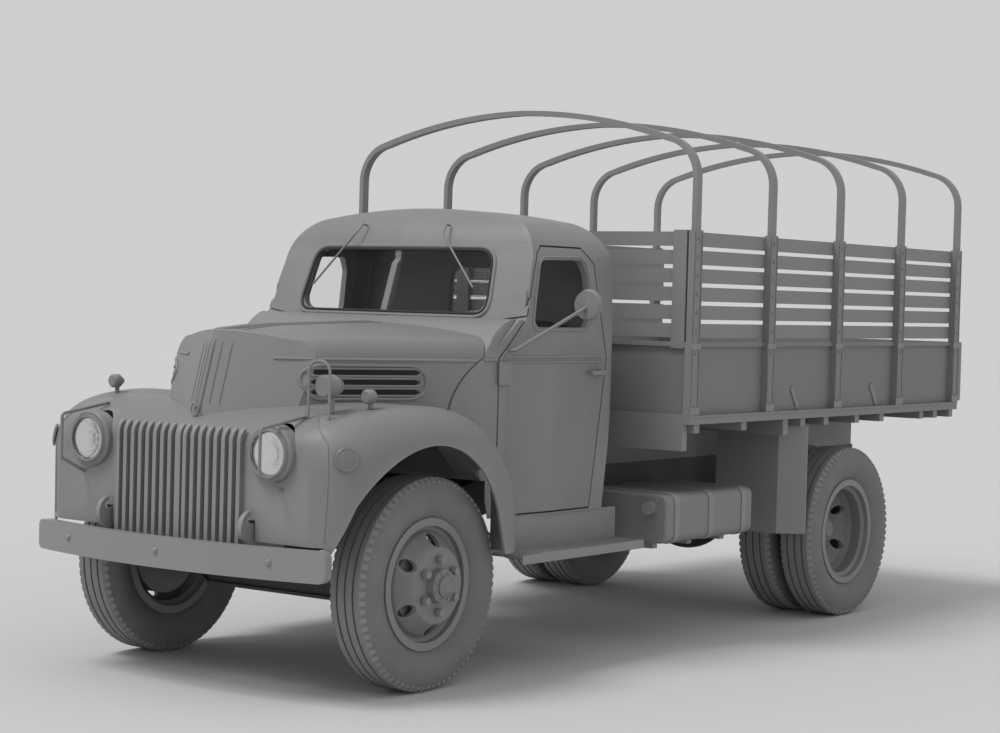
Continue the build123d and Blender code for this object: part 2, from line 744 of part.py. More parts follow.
def cab_form(inward):
    """The cab's outer body, drawn this far inside its skin."""
    side = cab_half - inward
    roof = roof_top - inward
    i = inward
    rear = cab_rear + 30 - inward
    foot = (aft(screen_foot[0] + i), screen_foot[1] - i)
    head = (aft(screen_head[0] + i), screen_head[1])
    bend = (aft(roof_bend[0] + i * 0.8), roof_bend[1] - i * 0.6)
    ridge = (aft(roof_ridge[0]), roof)
    with BuildPart(mode=Mode.PRIVATE) as form:
        with BuildSketch(front_plane(aft(cab_rear + 80))):
            with BuildLine():
                Line((0, cab_bottom), (side - 5, cab_bottom))
                Line((side - 5, cab_bottom), (side, belt))
                Line((side, belt), (side - 58, 1810))
                ThreePointArc((side - 58, 1810), (side - 118, roof - 118), (side - 262, roof - 48))
                ThreePointArc((side - 262, roof - 48), (side - 520, roof - 12), (0, roof))
                Line((0, roof), (0, cab_bottom))
            make_face()
            mirror(about=Plane.YZ)
        extrude(amount=1500)
        with BuildSketch(side_plane(-1000)):
            with BuildLine():
                Polyline((aft(500 + i), cab_bottom - 9), (aft(452 + i), 860), (aft(cowl_edge[0][0] + i), 1000))
                cowl_curve(i)
                Polyline((aft(cowl_edge[-1][0] + i), cowl_edge[-1][1]), foot, head)
                ThreePointArc(head, bend, ridge)
                ThreePointArc(ridge, (aft(1352 - i * 0.6), 2012 - i * 0.8), (aft(rear - 2), 1860))
                Polyline((aft(rear - 2), 1860), (aft(cab_rear - i), belt), (aft(cab_rear - 88 - i), cab_bottom - 9),
                         (aft(500 + i), cab_bottom - 9))
            make_face()
        extrude(amount=2000, mode=Mode.INTERSECT)
        with BuildSketch(Plane.XY.offset(cab_bottom - 10)):
            with BuildLine():
                near = [(x - inward, aft(y)) for x, y in cab_plan]
                Polyline((0, aft(230)), *near, (side, aft(rear - 110)))
                ThreePointArc((side, aft(rear - 110)), (side - 30, aft(rear - 30)), (side - 110, aft(rear)))
                Polyline((side - 110, aft(rear)), (0, aft(rear + 14)), (0, aft(230)))
            make_face()
            mirror(about=Plane.YZ)
        extrude(amount=1500, mode=Mode.INTERSECT)
        for sign in sides.values():
            with BuildSketch(side_plane(0)):
                with BuildLine():
                    Line(foot, head)
                    ThreePointArc(head, bend, ridge)
                    Polyline(ridge, (ridge[0], 2200), (aft(300), 2200), (aft(300), foot[1]), foot)
                make_face()
            extrude(amount=1000, dir=sweep_way(sign), mode=Mode.SUBTRACT)
        with BuildSketch(front_plane(aft(cowl_edge[2][0]))) as above:
            with BuildLine():
                low = (cowl_half - i, foot[1] - 190)
                high = (cowl_half - i - 112, foot[1] - 54)
                ThreePointArc(low, (cowl_half - i - 30, foot[1] - 104), high)
                ThreePointArc(high, (350, foot[1] - 14), (0, foot[1]))
                Polyline((0, foot[1]), (0, 1800), (1000, 1800), (1000, foot[1] - 190), low)
            make_face()
            mirror(about=Plane.YZ)
        extrude(amount=300, mode=Mode.SUBTRACT)
        extrude(above.sketch, amount=400, dir=Vector(0, 0.75, 0.66), mode=Mode.SUBTRACT)
    return form.part


cab_skin = cab_form(0)
cab_core = cab_form(cab_wall)

window_corner = 34
screen_corner = 64
hinge_radius = 10
hinge_heights = (860, 1330)
door_outline = [(door_front, cab_bottom + 14), (door_front, belt), (645, 1500), (728, 1590), (842, 1866),
                (884, 1898), (1200, 1898), (1286, 1826), (door_rear, belt), (door_rear - 108, cab_bottom + 14)]
window_outline = [(764, 1534), (868, 1838), (1190, 1846), (1224, 1780), (1232, 1590), (1180, 1534)]
screen_low = 1592
screen_high = 1872
screen_bar = 34
screen_outline = [(556, screen_low), (520, screen_high), (-520, screen_high), (-556, screen_low)]
rear_window = (380, 250, 1680)


def side_prism(points, start, depth, corner=0, grow=0):
    """A prism across the truck whose outline is given as distance behind the axle and height."""
    with BuildPart(mode=Mode.PRIVATE) as prism:
        with BuildSketch(side_plane(start)):
            with BuildLine():
                Polyline(*[(aft(y), z) for y, z in points], close=True)
            make_face()
            if corner:
                fillet(vertices(), corner)
            if grow:
                offset(amount=grow, kind=Kind.INTERSECTION)
        extrude(amount=depth)
    return prism.part


def screen_post():
    """The post between the two panes, cut from the cab's own wall."""
    with BuildPart(mode=Mode.PRIVATE) as post:
        add(cab_skin)
        add(cab_core, mode=Mode.SUBTRACT)
        with BuildSketch(front_plane(aft(880))):
            with Locations((0, (screen_low + screen_high) / 2)):
                Rectangle(screen_bar, screen_high - screen_low + 12)
        extrude(amount=300, mode=Mode.INTERSECT)
    return post.part


# Firewall and floor: two sheets cut to the cab's outline
with BuildPart() as cab_inside:
    with BuildSketch(front_plane(aft(firewall_y + 14))):
        with Locations((0, (floor_z + belt - 40) / 2)):
            Rectangle(2 * cab_half, belt - 40 - floor_z)
    extrude(amount=14)
    with BuildSketch(Plane.XY.offset(floor_z)):
        with Locations((0, aft((firewall_y + cab_rear - 50) / 2))):
            Rectangle(2 * cab_half, cab_rear - 50 - firewall_y)
    extrude(amount=floor_wall)
    add(cab_skin, mode=Mode.INTERSECT)

with BuildPart() as cab_shell:
    add(cab_skin)
    add(cab_core, mode=Mode.SUBTRACT)
    with BuildSketch(Plane.XY.offset(cab_bottom - 60)):
        with Locations((0, aft(900))):
            Rectangle(2 * (cab_half - cab_wall - 24), 1240)
    extrude(amount=floor_z - cab_bottom + 60, mode=Mode.SUBTRACT)
    with BuildSketch(Plane.XY.offset(floor_z)):
        with Locations((0, aft(firewall_y - 160))):
            Rectangle(1230, 320)
    extrude(amount=belt - 130 - floor_z, mode=Mode.SUBTRACT)
    add(cab_inside.part)
    with BuildSketch(side_plane(-700)):
        with BuildLine():
            Polyline((aft(545), 1330), (aft(640), 1300), (aft(662), 1500), (aft(640), 1530), (aft(560), 1500),
                     close=True)
        make_face()
    extrude(amount=1400)
    for sign in sides.values():
        add(side_prism(door_outline, sign * 640, sign * 400, grow=door_gap), mode=Mode.SUBTRACT)
    with BuildSketch(front_plane(aft(960))):
        with BuildLine():
            Polyline(*screen_outline, close=True)
        make_face()
        fillet(vertices(), screen_corner)
    extrude(amount=420, mode=Mode.SUBTRACT)
    with BuildSketch(front_plane(aft(cab_rear + 60))):
        with Locations((0, rear_window[2])):
            RectangleRounded(rear_window[0], rear_window[1], 50)
    extrude(amount=240, mode=Mode.SUBTRACT)
    add(screen_post())
save(cab_shell, "cab_shell")

# Doors: the left one is cut from the cab's wall and the right one mirrors it. Each turns on two hinge barrels.
hinge_x = 768
hinge_y = door_front - 6
with BuildPart() as door:
    add(cab_skin)
    add(cab_core, mode=Mode.SUBTRACT)
    add(side_prism(door_outline, 640, 400), mode=Mode.INTERSECT)
    add(side_prism(window_outline, 600, 500, corner=window_corner), mode=Mode.SUBTRACT)
    with BuildSketch(side_plane(cab_half - 6)):
        with Locations((aft(1259), 1327)):
            Circle(16)
    extrude(amount=34)
    with BuildSketch(side_plane(cab_half + 22)):
        with Locations((aft(1223), 1327)):
            SlotOverall(110, 20)
    extrude(amount=11)
    for height in hinge_heights:
        with BuildSketch(Plane.XY.offset(height - 50)):
            with Locations((hinge_x, aft(hinge_y))):
                Circle(hinge_radius)
            with BuildLine():
                Polyline((hinge_x - 6, aft(hinge_y + 7)), (hinge_x + 4, aft(hinge_y)), (hinge_x + 13, aft(hinge_y + 66)),
                         (hinge_x - 2, aft(hinge_y + 66)), close=True)
            make_face()
        extrude(amount=100)
save(door, "door_left")
with BuildPart() as door_right:
    mirror(door.part, about=Plane.YZ)
save(door_right, "door_right")


def slab(foot, head, depth, wall, shift):
    """The corners of a thin pane behind the line from foot to head."""
    run = Vector(head[0] - foot[0], head[1] - foot[1]).normalized()
    behind = Vector(run.Y, -run.X) * shift
    corners = []
    for along, across in ((-30, depth), (30, depth), (30, depth + wall), (-30, depth + wall)):
        end = head if along > 0 else foot
        corners.append((aft(end[0]) + run.X * along + behind.X * across,
                        end[1] + run.Y * along + behind.Y * across))
    return corners


glass_depth = 12
with BuildPart() as cab_glass:
    for sign in sides.values():
        with BuildSketch(side_plane(0)):
            with BuildLine():
                Polyline(*slab(screen_foot, screen_head, glass_depth, glass_wall, 1), close=True)
            make_face()
        extrude(amount=1000, dir=sweep_way(sign))
    with BuildSketch(front_plane(aft(960))):
        with BuildLine():
            Polyline(*screen_outline, close=True)
        make_face()
        fillet(vertices(), screen_corner)
        offset(amount=-seat_gap)
        Rectangle(screen_bar + 2 * seat_gap, 5000, mode=Mode.SUBTRACT)
    extrude(amount=420, mode=Mode.INTERSECT)
    with BuildSketch(side_plane(-rear_window[0])):
        with BuildLine():
            Polyline(*slab((cab_rear, belt), (cab_rear + 28, 1860), glass_depth, glass_wall, -1), close=True)
        make_face()
    rear_glass = extrude(amount=2 * rear_window[0], mode=Mode.PRIVATE)
    with BuildSketch(front_plane(aft(cab_rear + 60))):
        with Locations((0, rear_window[2])):
            RectangleRounded(rear_window[0] - 2 * seat_gap, rear_window[1] - 2 * seat_gap, 50 - seat_gap)
    rear_hole = extrude(amount=240, mode=Mode.PRIVATE)
    add(rear_glass & rear_hole)
save(cab_glass, "cab_glass")

# Inside the cab: a bench in two pads, and the steering column with its wheel.
seat_half = 640
with BuildPart() as seat:
    with BuildSketch(side_plane(-seat_half)):
        with BuildLine():
            cushion = [(aft(830), floor_z + floor_wall + 0.3), (aft(1270), floor_z + floor_wall + 0.3),
                       (aft(1270), 1130), (aft(840), 1170)]
            Polyline(*cushion, close=True)
        make_face()
        fillet(vertices().sort_by(Axis.Y)[-2:], 40)
    extrude(amount=2 * seat_half)
    with BuildSketch(side_plane(-seat_half)):
        with BuildLine():
            back = [(aft(1210), 1171), (aft(1330), 1171), (aft(1362), 1560), (aft(1270), 1560)]
            Polyline(*back, close=True)
        make_face()
        fillet(vertices().sort_by(Axis.Y)[-2:], 34)
    extrude(amount=2 * seat_half)
save(seat, "seat")

wheel_middle = Vector(390, aft(1010), 1440)
column_foot = Vector(390, aft(470), 930)
column_way = (wheel_middle - column_foot).normalized()
with BuildPart() as steering_wheel:
    with BuildSketch(Plane(origin=column_foot, z_dir=column_way)):
        Circle(21)
    extrude(amount=(wheel_middle - column_foot).length + 14)
    wheel_level = Plane(origin=wheel_middle, x_dir=(1, 0, 0), z_dir=column_way)
    with BuildSketch(Plane(origin=wheel_middle, x_dir=wheel_level.x_dir, z_dir=wheel_level.y_dir)):
        with Locations((208, 0)):
            Circle(13)
    revolve(axis=Axis(wheel_middle, column_way))
    with BuildSketch(wheel_level.offset(-4)):
        Circle(44)
        with PolarLocations(105, 3, start_angle=90):
            Rectangle(200, 24)
    extrude(amount=9)
save(steering_wheel, "steering_wheel")

# Running boards with an apron up to the cab's sill
board_half = 950
board_low = 505
board_high = 545
board_front = 492
board_rear = 1462
apron_x = 776
with BuildPart() as running_boards:
    for sign in sides.values():
        with BuildSketch(front_plane(aft(board_rear))):
            with BuildLine():
                outline = [(apron_x, board_high - 14), (apron_x, cab_bottom - seat_gap), (apron_x + 8, cab_bottom - seat_gap),
                           (apron_x + 8, board_high), (board_half, board_high), (board_half, board_low),
                           (board_half - 8, board_low), (board_half - 8, board_high - 14)]
                Polyline(*[(sign * x, z) for x, z in outline], close=True)
            make_face()
            for groove in range(5):
                with Locations((sign * (apron_x + 34 + 27 * groove), board_high)):
                    Rectangle(10, 7, mode=Mode.SUBTRACT)
        extrude(amount=board_rear - board_front)
        for place in (board_front + 120, board_rear - 140):
            with BuildSketch(front_plane(aft(place))):
                with BuildLine():
                    Polyline((sign * rail_half, 640), (sign * rail_half, 700), (sign * apron_x, board_high + 40),
                             (sign * apron_x, board_high - 14), (sign * (board_half - 8), board_high - 14),
                             (sign * (board_half - 40), board_low + 6), (sign * apron_x, board_low + 6), close=True)
                make_face()
            extrude(amount=8)
save(running_boards, "running_boards")

# Fuel tank on the left, held by three straps and their brackets
tank_in = 452
tank_out = 998
tank_front = 1582
tank_rear = 2390
tank_low = 515
tank_high = 750
tank_round = 46
strap_wall = 4
strap_places = [tank_front + 90, (tank_front + tank_rear) / 2, tank_rear - 90]
with BuildPart() as fuel_tank:
    with BuildSketch(front_plane(aft(tank_rear))):
        with Locations(((tank_in + tank_out) / 2, (tank_low + tank_high) / 2)):
            RectangleRounded(tank_out - tank_in, tank_high - tank_low, tank_round)
    extrude(amount=tank_rear - tank_front)
    fillet(fuel_tank.faces().sort_by(Axis.Y)[0].edges() + fuel_tank.faces().sort_by(Axis.Y)[-1].edges(), 14)
    with BuildSketch(front_plane(aft(tank_front + 60))):
        with Locations((tank_out - 90, tank_high - 66)):
            Circle(34)
    extrude(amount=96)
save(fuel_tank, "fuel_tank")

with BuildPart() as tank_straps:
    for place in strap_places:
        with BuildSketch(front_plane(aft(place + 22))):
            with Locations(((tank_in + tank_out) / 2, (tank_low + tank_high) / 2)):
                grow = 2 * (strap_wall + seat_gap)
                RectangleRounded(tank_out - tank_in + grow, tank_high - tank_low + grow, tank_round + strap_wall)
            with Locations(((rail_half + tank_out - 120) / 2, tank_low - 18)):
                Rectangle(tank_out - 120 - rail_half, 32)
            with Locations((rail_half + 10 + seat_gap, 620)):
                Rectangle(20, 240)
            with Locations(((tank_in + tank_out) / 2, (tank_low + tank_high) / 2)):
                gap = 2 * seat_gap
                RectangleRounded(tank_out - tank_in + gap, tank_high - tank_low + gap, tank_round,
                                 mode=Mode.SUBTRACT)
        extrude(amount=44)
save(tank_straps, "tank_straps")

# Bed: long sills on the rails, cross sills on those, then the floor
sill_base = 1040
cross_sills = [(1760, 43), (2210, 43), (2630, 83), (2815, 43), (3069, 43), (3420, 43), (3714, 43), (4214, 43),
               (4394, 43), (4600, 43)]
with BuildPart() as bed_sills:
    for sign in sides.values():
        with BuildSketch(Plane.XY.offset(rail_top + seat_gap)):
            with Locations((sign * (rail_half - 33), aft((bed_front + bed_rear) / 2))):
                Rectangle(64, bed_rear - bed_front - 120)
        extrude(amount=sill_base - rail_top)
    for place, depth in cross_sills:
        with BuildSketch(front_plane(aft(place + 25))):
            with Locations((0, sill_low - depth / 2)):
                Rectangle(2 * (bed_half - 9), depth)
        extrude(amount=50)
save(bed_sills, "bed_sills")

side_wall = 40
with BuildPart() as bed_floor:
    with BuildSketch(Plane.XY.offset(sill_low + seat_gap)):
        with Locations((0, aft((bed_front + 50 + bed_rear - 4) / 2))):
            Rectangle(2 * (bed_half - side_wall - seat_gap), bed_rear - bed_front - 54)
    extrude(amount=sill_high - sill_low - 8)
save(bed_floor, "bed_floor")

post_span = (bed_length - post_width) / (post_count - 1)
post_places = [bed_front + post_width / 2 + step * post_span for step in range(post_count)]
panel_x = bed_half - side_wall
post_x = panel_x + sheet_bed
with BuildPart() as bed_sides:
    for sign in sides.values():
        with BuildSketch(front_plane(aft(bed_rear))):
            with BuildLine():
                outline = [(bed_half, sill_low), (bed_half, sill_high), (post_x, sill_high), (post_x, panel_top - 22),
                           (post_x + 16, panel_top - 22), (post_x + 16, panel_top), (panel_x, panel_top),
                           (panel_x, sill_low)]
                Polyline(*[(sign * x, z) for x, z in outline], close=True)
            make_face()
        extrude(amount=bed_length)
        for place in post_places:
            with BuildSketch(Plane.XY.offset(sill_high - 10)):
                with Locations((sign * (post_x + post_depth / 2), aft(place))):
                    Rectangle(post_depth, post_width)
                    Rectangle(post_depth - 2 * post_wall, post_width - 12, mode=Mode.SUBTRACT)
            extrude(amount=rack_top - sill_high + 10)
save(bed_sides, "bed_sides")

slat_gap = (rack_top - 8 - panel_top - slat_count * slat_height) / slat_count
slat_places = [panel_top + slat_gap * (step + 1) + slat_height * (step + 0.5) for step in range(slat_count)]
with BuildPart() as rack_slats:
    for sign in sides.values():
        for place in slat_places:
            with BuildSketch(front_plane(aft(bed_rear))):
                with Locations((sign * (post_x - seat_gap - slat_wall / 2), place)):
                    Rectangle(slat_wall, slat_height)
            extrude(amount=bed_length - 60)
    for place in slat_places:
        with BuildSketch(front_plane(aft(bed_front + 24 + slat_wall + seat_gap))):
            with Locations((0, place)):
                Rectangle(2 * (post_x - slat_wall - 3), slat_height)
        extrude(amount=slat_wall)
save(rack_slats, "rack_slats")

with BuildPart() as headboard:
    with BuildSketch(side_plane(-panel_x + seat_gap)):
        with BuildLine():
            y = aft(bed_front)
            Polyline((y, headboard_low), (y, sill_high + 4), (y + 16, sill_high + 4), (y + 16, panel_top - 22),
                     (y, panel_top - 22), (y, panel_top), (y + 24, panel_top), (y + 24, sill_high - 2),
                     (y + 44, sill_high - 2), (y + 44, headboard_low), close=True)
        make_face()
    extrude(amount=2 * (panel_x - seat_gap))
    for sign in (-1, -0.34, 0.34, 1):
        with BuildSketch(Plane.XY.offset(panel_top - 30)):
            with Locations((sign * (panel_x - 42), aft(bed_front + 12))):
                Rectangle(post_width, 24)
        extrude(amount=rack_top - panel_top + 30)
save(headboard, "headboard")

# Bows: five hoops whose legs stand in the side posts
with BuildPart() as bows:
    for place in post_places:
        with BuildSketch(front_plane(aft(place) + bow_width / 2)):
            with BuildLine():
                outer = post_x + post_depth - post_wall - seat_gap
                inner = post_x + post_wall + seat_gap
                Line((outer, rack_top - 200), (outer, 2260))
                ThreePointArc((outer, 2260), (outer - 42, 2380), (outer - 150, 2455))
                ThreePointArc((outer - 150, 2455), (outer - 520, 2550), (0, bow_top))
                Line((0, bow_top), (0, bow_top - bow_depth))
                ThreePointArc((0, bow_top - bow_depth), (inner - 514, 2550 - bow_depth),
                              (inner - 146, 2455 - bow_depth + 2))
                ThreePointArc((inner - 146, 2455 - bow_depth + 2), (inner - 40, 2370), (inner, 2260))
                Line((inner, 2260), (inner, rack_top - 200))
                Line((inner, rack_top - 200), (outer, rack_top - 200))
            make_face()
            mirror(about=Plane.YZ)
        extrude(amount=bow_width)
save(bows, "bows")

gate_gap = 6
gate_y = bed_rear + gate_gap
gate_pin_z = sill_high - 60
gate_hinges = (-820, 0, 820)
gate_lug = 40
gate_eye = 16
gate_pin = 7
with BuildPart() as tailgate:
    with BuildSketch(front_plane(aft(gate_y + gate_wall))):
        with Locations((0, (sill_high + 6 + panel_top) / 2)):
            RectangleRounded(2 * bed_half, panel_top - sill_high - 6, 12)
    extrude(amount=gate_wall)
    with BuildSketch(front_plane(aft(gate_y + gate_wall))):
        with Locations(*[(x, (sill_high + 6 + panel_top) / 2) for x in (-700, 0, 700)]):
            RectangleRounded(610, panel_top - sill_high - 90, 12)
    extrude(amount=gate_wall - sheet_bed, mode=Mode.SUBTRACT)
    for x in gate_hinges:
        with BuildSketch(side_plane(x - gate_lug / 2)):
            with Locations((aft(gate_y + 17), gate_pin_z)):
                Circle(gate_eye)
            with Locations((aft(gate_y + 17), (gate_pin_z + sill_high + 20) / 2)):
                Rectangle(2 * gate_eye, sill_high + 20 - gate_pin_z)
            with Locations((aft(gate_y + 17), gate_pin_z)):
                Circle(gate_pin + seat_gap, mode=Mode.SUBTRACT)
        extrude(amount=gate_lug)
save(tailgate, "tailgate")

# Brackets on the last cross sill hold the tailgate's pins
with BuildPart() as gate_brackets:
    for x in gate_hinges:
        for shift in (-gate_lug / 2 - seat_gap - 8, gate_lug / 2 + seat_gap):
            with BuildSketch(side_plane(x + shift)):
                with BuildLine():
                    sill_back = aft(cross_sills[-1][0] + 25 + seat_gap)
                    Polyline((sill_back, gate_pin_z - 44), (sill_back, gate_pin_z - 4),
                             (aft(gate_y + 17), gate_pin_z - 4), (aft(gate_y + 17), gate_pin_z - 44), close=True)
                make_face()
                with Locations((aft(gate_y + 17), gate_pin_z - 8)):
                    Rectangle(2 * gate_eye, 60)
            extrude(amount=8)
        with BuildSketch(side_plane(x - gate_lug / 2 - 10)):
            with Locations((aft(gate_y + 17), gate_pin_z)):
                Circle(gate_pin)
        extrude(amount=gate_lug + 20)
save(gate_brackets, "gate_brackets")

# Splash guards stand ahead of the rear wheels under a cross sill
with BuildPart() as splash_guards:
    for sign in sides.values():
        with BuildSketch(Plane.XY.offset(479)):
            with BuildLine():
                Polyline(*[(sign * x, aft(y)) for x, y in ((560, 2770), (928, 2770), (1043, 2872), (1043, 2864),
                                                           (931, 2762), (560, 2762))], close=True)
            make_face()
        extrude(amount=sill_base - seat_gap - 479)
save(splash_guards, "splash_guards")

# Lamps
def turned(outline, x, z):
    """A solid turned about a line along the truck; the outline is distance behind the axle and radius."""
    with BuildPart(mode=Mode.PRIVATE) as body:
        with BuildSketch(Plane(origin=(x, 0, z), x_dir=(0, 1, 0), z_dir=(1, 0, 0))):
            with BuildLine():
                Polyline(*[(aft(place), radius) for place, radius in outline], close=True)
            make_face()
        revolve(axis=Axis((x, 0, z), (0, 1, 0)))
    return body.part


lamp_face = nose_reach + 26
bucket = [(-lamp_face + 150, 0), (-lamp_face + 130, 70), (-lamp_face + 60, lamp_radius),
          (-lamp_face + 4, lamp_radius),
          (-lamp_face - 4, lamp_radius - 6), (-lamp_face - 4, ring_radius + 2), (-lamp_face - 16, ring_radius - 2),
          (-lamp_face - 16, ring_radius - 10), (-lamp_face - 2, ring_radius - 12), (-lamp_face - 2, 0)]
lens = [(-lamp_face - 2.3, 0), (-lamp_face - 2.3, ring_radius - 12.3), (-lamp_face - 10, ring_radius - 12.3),
        (-lamp_face - 20, 60), (-lamp_face - 25, 28), (-lamp_face - 26, 0)]
with BuildPart() as headlamps:
    for sign in sides.values():
        add(turned(bucket, sign * lamp_half, lamp_z))
save(headlamps, "headlamps")
with BuildPart() as lamp_lenses:
    for sign in sides.values():
        add(turned(lens, sign * lamp_half, lamp_z))
save(lamp_lenses, "lamp_lenses")


def bent_bar(points, radius, bends):
    """A round bar along straight runs with the given bends between them."""
    with BuildPart(mode=Mode.PRIVATE) as rod:
        with BuildLine() as path:
            FilletPolyline(*points, radius=bends)
        with BuildSketch(Plane(origin=path.line @ 0, z_dir=path.line % 0)):
            Circle(radius)
        sweep()
    return rod.part


with BuildPart() as lamp_guards:
    for sign in sides.values():
        x = sign * (lamp_half + 50)
        add(bent_bar([(x, aft(-520), 1159.5), (x, aft(-lamp_face - 110), 1118), (x, aft(-lamp_face - 110), 930),
                      (x, aft(-nose_reach - 3.5), 866)], 7, 20))
    hoop_x = 640
    hoop_foot = 1154
    add(bent_bar([(hoop_x - 56, aft(-520), hoop_foot), (hoop_x - 56, aft(-520), 1388),
                  (hoop_x + 56, aft(-520), 1388), (hoop_x + 56, aft(-520), hoop_foot)], 6, 50))
save(lamp_guards, "lamp_guards")

with BuildPart() as blackout_lamps:
    drive_lamp = [(-500, 0), (-500, 40), (-492, 48), (-440, 48), (-400, 30), (-384, 0)]
    add(turned(drive_lamp, hoop_x, 1284))
    with BuildSketch(Plane.XY.offset(1176)):
        with Locations((hoop_x, aft(-440))):
            Circle(12)
    extrude(amount=60)
    for sign in sides.values():
        marker = [(-350, 0), (-350, 22), (-340, 30), (-310, 30), (-282, 12), (-276, 0)]
        add(turned(marker, sign * 740, 1244))
        with BuildSketch(Plane.XY.offset(1194)):
            with Locations((sign * 740, aft(-315))):
                Circle(10)
        extrude(amount=30)
save(blackout_lamps, "blackout_lamps")

with BuildPart() as wipers:
    for sign in sides.values():
        add(bent_bar([(sign * 250, aft(821), 1989), (sign * 250, aft(790), 1996), (sign * 262, aft(748), 1950),
                      (sign * 480, aft(700), 1705)], 5, 12))
save(wipers, "wipers")

mirror_head = (955, 940, 1640)
with BuildPart() as mirror_arm:
    head_x, head_y, head_z = mirror_head
    add(bent_bar([(769, aft(600), belt + 34), (806, aft(597), belt + 38), (head_x, aft(head_y - 20), head_z - 10)],
                 8, 16))
    with BuildSketch(Plane(origin=(head_x, aft(head_y), head_z), x_dir=(1, 0, 0), z_dir=(0, -1, 0))):
        Circle(72)
    extrude(amount=24, taper=20)
save(mirror_arm, "mirror")
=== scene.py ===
# %% [markdown]
# # A military cargo truck
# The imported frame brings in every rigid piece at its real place. This script gives each one its
# finish and adds what is too small or too soft for the solid model: beads, rivets, nuts, tread,
# wire mesh and seat covers. Lengths are metres, the truck faces -Y and the driver sits at +X.

# %% Load the frame
import math

import bmesh
import bpy
from mathutils import Matrix, Vector
from mathutils.bvhtree import BVHTree


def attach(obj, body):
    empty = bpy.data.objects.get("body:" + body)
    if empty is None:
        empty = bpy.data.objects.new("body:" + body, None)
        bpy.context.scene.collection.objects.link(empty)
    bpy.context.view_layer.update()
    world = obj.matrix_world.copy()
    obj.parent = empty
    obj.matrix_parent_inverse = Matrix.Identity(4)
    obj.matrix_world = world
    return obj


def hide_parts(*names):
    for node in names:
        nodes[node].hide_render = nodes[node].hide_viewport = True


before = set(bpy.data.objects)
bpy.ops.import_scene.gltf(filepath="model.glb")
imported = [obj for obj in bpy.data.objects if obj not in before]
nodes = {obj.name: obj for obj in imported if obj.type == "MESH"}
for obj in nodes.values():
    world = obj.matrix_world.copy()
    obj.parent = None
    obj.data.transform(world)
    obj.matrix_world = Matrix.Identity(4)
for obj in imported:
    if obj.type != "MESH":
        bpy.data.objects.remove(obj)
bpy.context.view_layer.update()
print("nodes", len(nodes))

# %% Sizes that the added pieces share
axle_y = -1.9575
wheel_z = 0.452
rear_axle = 3.404


def at(x, back, z):
    """A place given by its distance behind the front axle."""
    return Vector((x, axle_y + back, z))


# %% [markdown]
# ## Wear shared by every painted surface
# Real paint is never one colour. It fades in broad patches, catches fine dust and rubs thin on
# edges. One node group makes those three masks from Object coordinates, so that the pattern stays
# put when a door or wheel moves, and each material sets its own amounts.

# %% The wear group
def wear_group():
    group = bpy.data.node_groups.new("surface_wear", "ShaderNodeTree")
    for label, kind, value in (("Colour", "NodeSocketColor", (0.2, 0.2, 0.2, 1)),
                               ("Patch Size", "NodeSocketFloat", 2.0),
                               ("Patch Amount", "NodeSocketFloat", 0.12),
                               ("Grain Size", "NodeSocketFloat", 220.0),
                               ("Edge Amount", "NodeSocketFloat", 0.25),
                               ("Roughness", "NodeSocketFloat", 0.5)):
        socket = group.interface.new_socket(label, in_out="INPUT", socket_type=kind)
        socket.default_value = value
    group.interface.new_socket("Colour", in_out="OUTPUT", socket_type="NodeSocketColor")
    group.interface.new_socket("Roughness", in_out="OUTPUT", socket_type="NodeSocketFloat")
    group.interface.new_socket("Height", in_out="OUTPUT", socket_type="NodeSocketFloat")
    tree = group.nodes
    link = group.links.new
    start = tree.new("NodeGroupInput")
    end = tree.new("NodeGroupOutput")
    place = tree.new("ShaderNodeTexCoord")
    patch = tree.new("ShaderNodeTexNoise")
    patch.inputs["Detail"].default_value = 5
    link(place.outputs["Object"], patch.inputs["Vector"])
    link(start.outputs["Patch Size"], patch.inputs["Scale"])
    grain = tree.new("ShaderNodeTexNoise")
    grain.inputs["Detail"].default_value = 3
    link(place.outputs["Object"], grain.inputs["Vector"])
    link(start.outputs["Grain Size"], grain.inputs["Scale"])
    centred = tree.new("ShaderNodeMath")
    centred.operation = "SUBTRACT"
    link(patch.outputs["Fac"], centred.inputs[0])
    centred.inputs[1].default_value = 0.5
    shade = tree.new("ShaderNodeMath")
    shade.operation = "MULTIPLY_ADD"
    link(centred.outputs[0], shade.inputs[0])
    link(start.outputs["Patch Amount"], shade.inputs[1])
    shade.inputs[2].default_value = 1.0
    edge = tree.new("ShaderNodeNewGeometry")
    sharp = tree.new("ShaderNodeMapRange")
    sharp.inputs["From Min"].default_value = 0.5
    sharp.inputs["From Max"].default_value = 0.62
    link(edge.outputs["Pointiness"], sharp.inputs["Value"])
    lift = tree.new("ShaderNodeMath")
    lift.operation = "MULTIPLY"
    link(sharp.outputs["Result"], lift.inputs[0])
    link(start.outputs["Edge Amount"], lift.inputs[1])
    total = tree.new("ShaderNodeMath")
    total.operation = "ADD"
    link(shade.outputs[0], total.inputs[0])
    link(lift.outputs[0], total.inputs[1])
    tint = tree.new("ShaderNodeVectorMath")
    tint.operation = "SCALE"
    link(start.outputs["Colour"], tint.inputs[0])
    link(total.outputs[0], tint.inputs["Scale"])
    link(tint.outputs[0], end.inputs["Colour"])
    rough = tree.new("ShaderNodeMath")
    rough.operation = "MULTIPLY_ADD"
    link(centred.outputs[0], rough.inputs[0])
    rough.inputs[1].default_value = 0.3
    link(start.outputs["Roughness"], rough.inputs[2])
    link(rough.outputs[0], end.inputs["Roughness"])
    link(grain.outputs["Fac"], end.inputs["Height"])
    return group


surface_wear = wear_group()


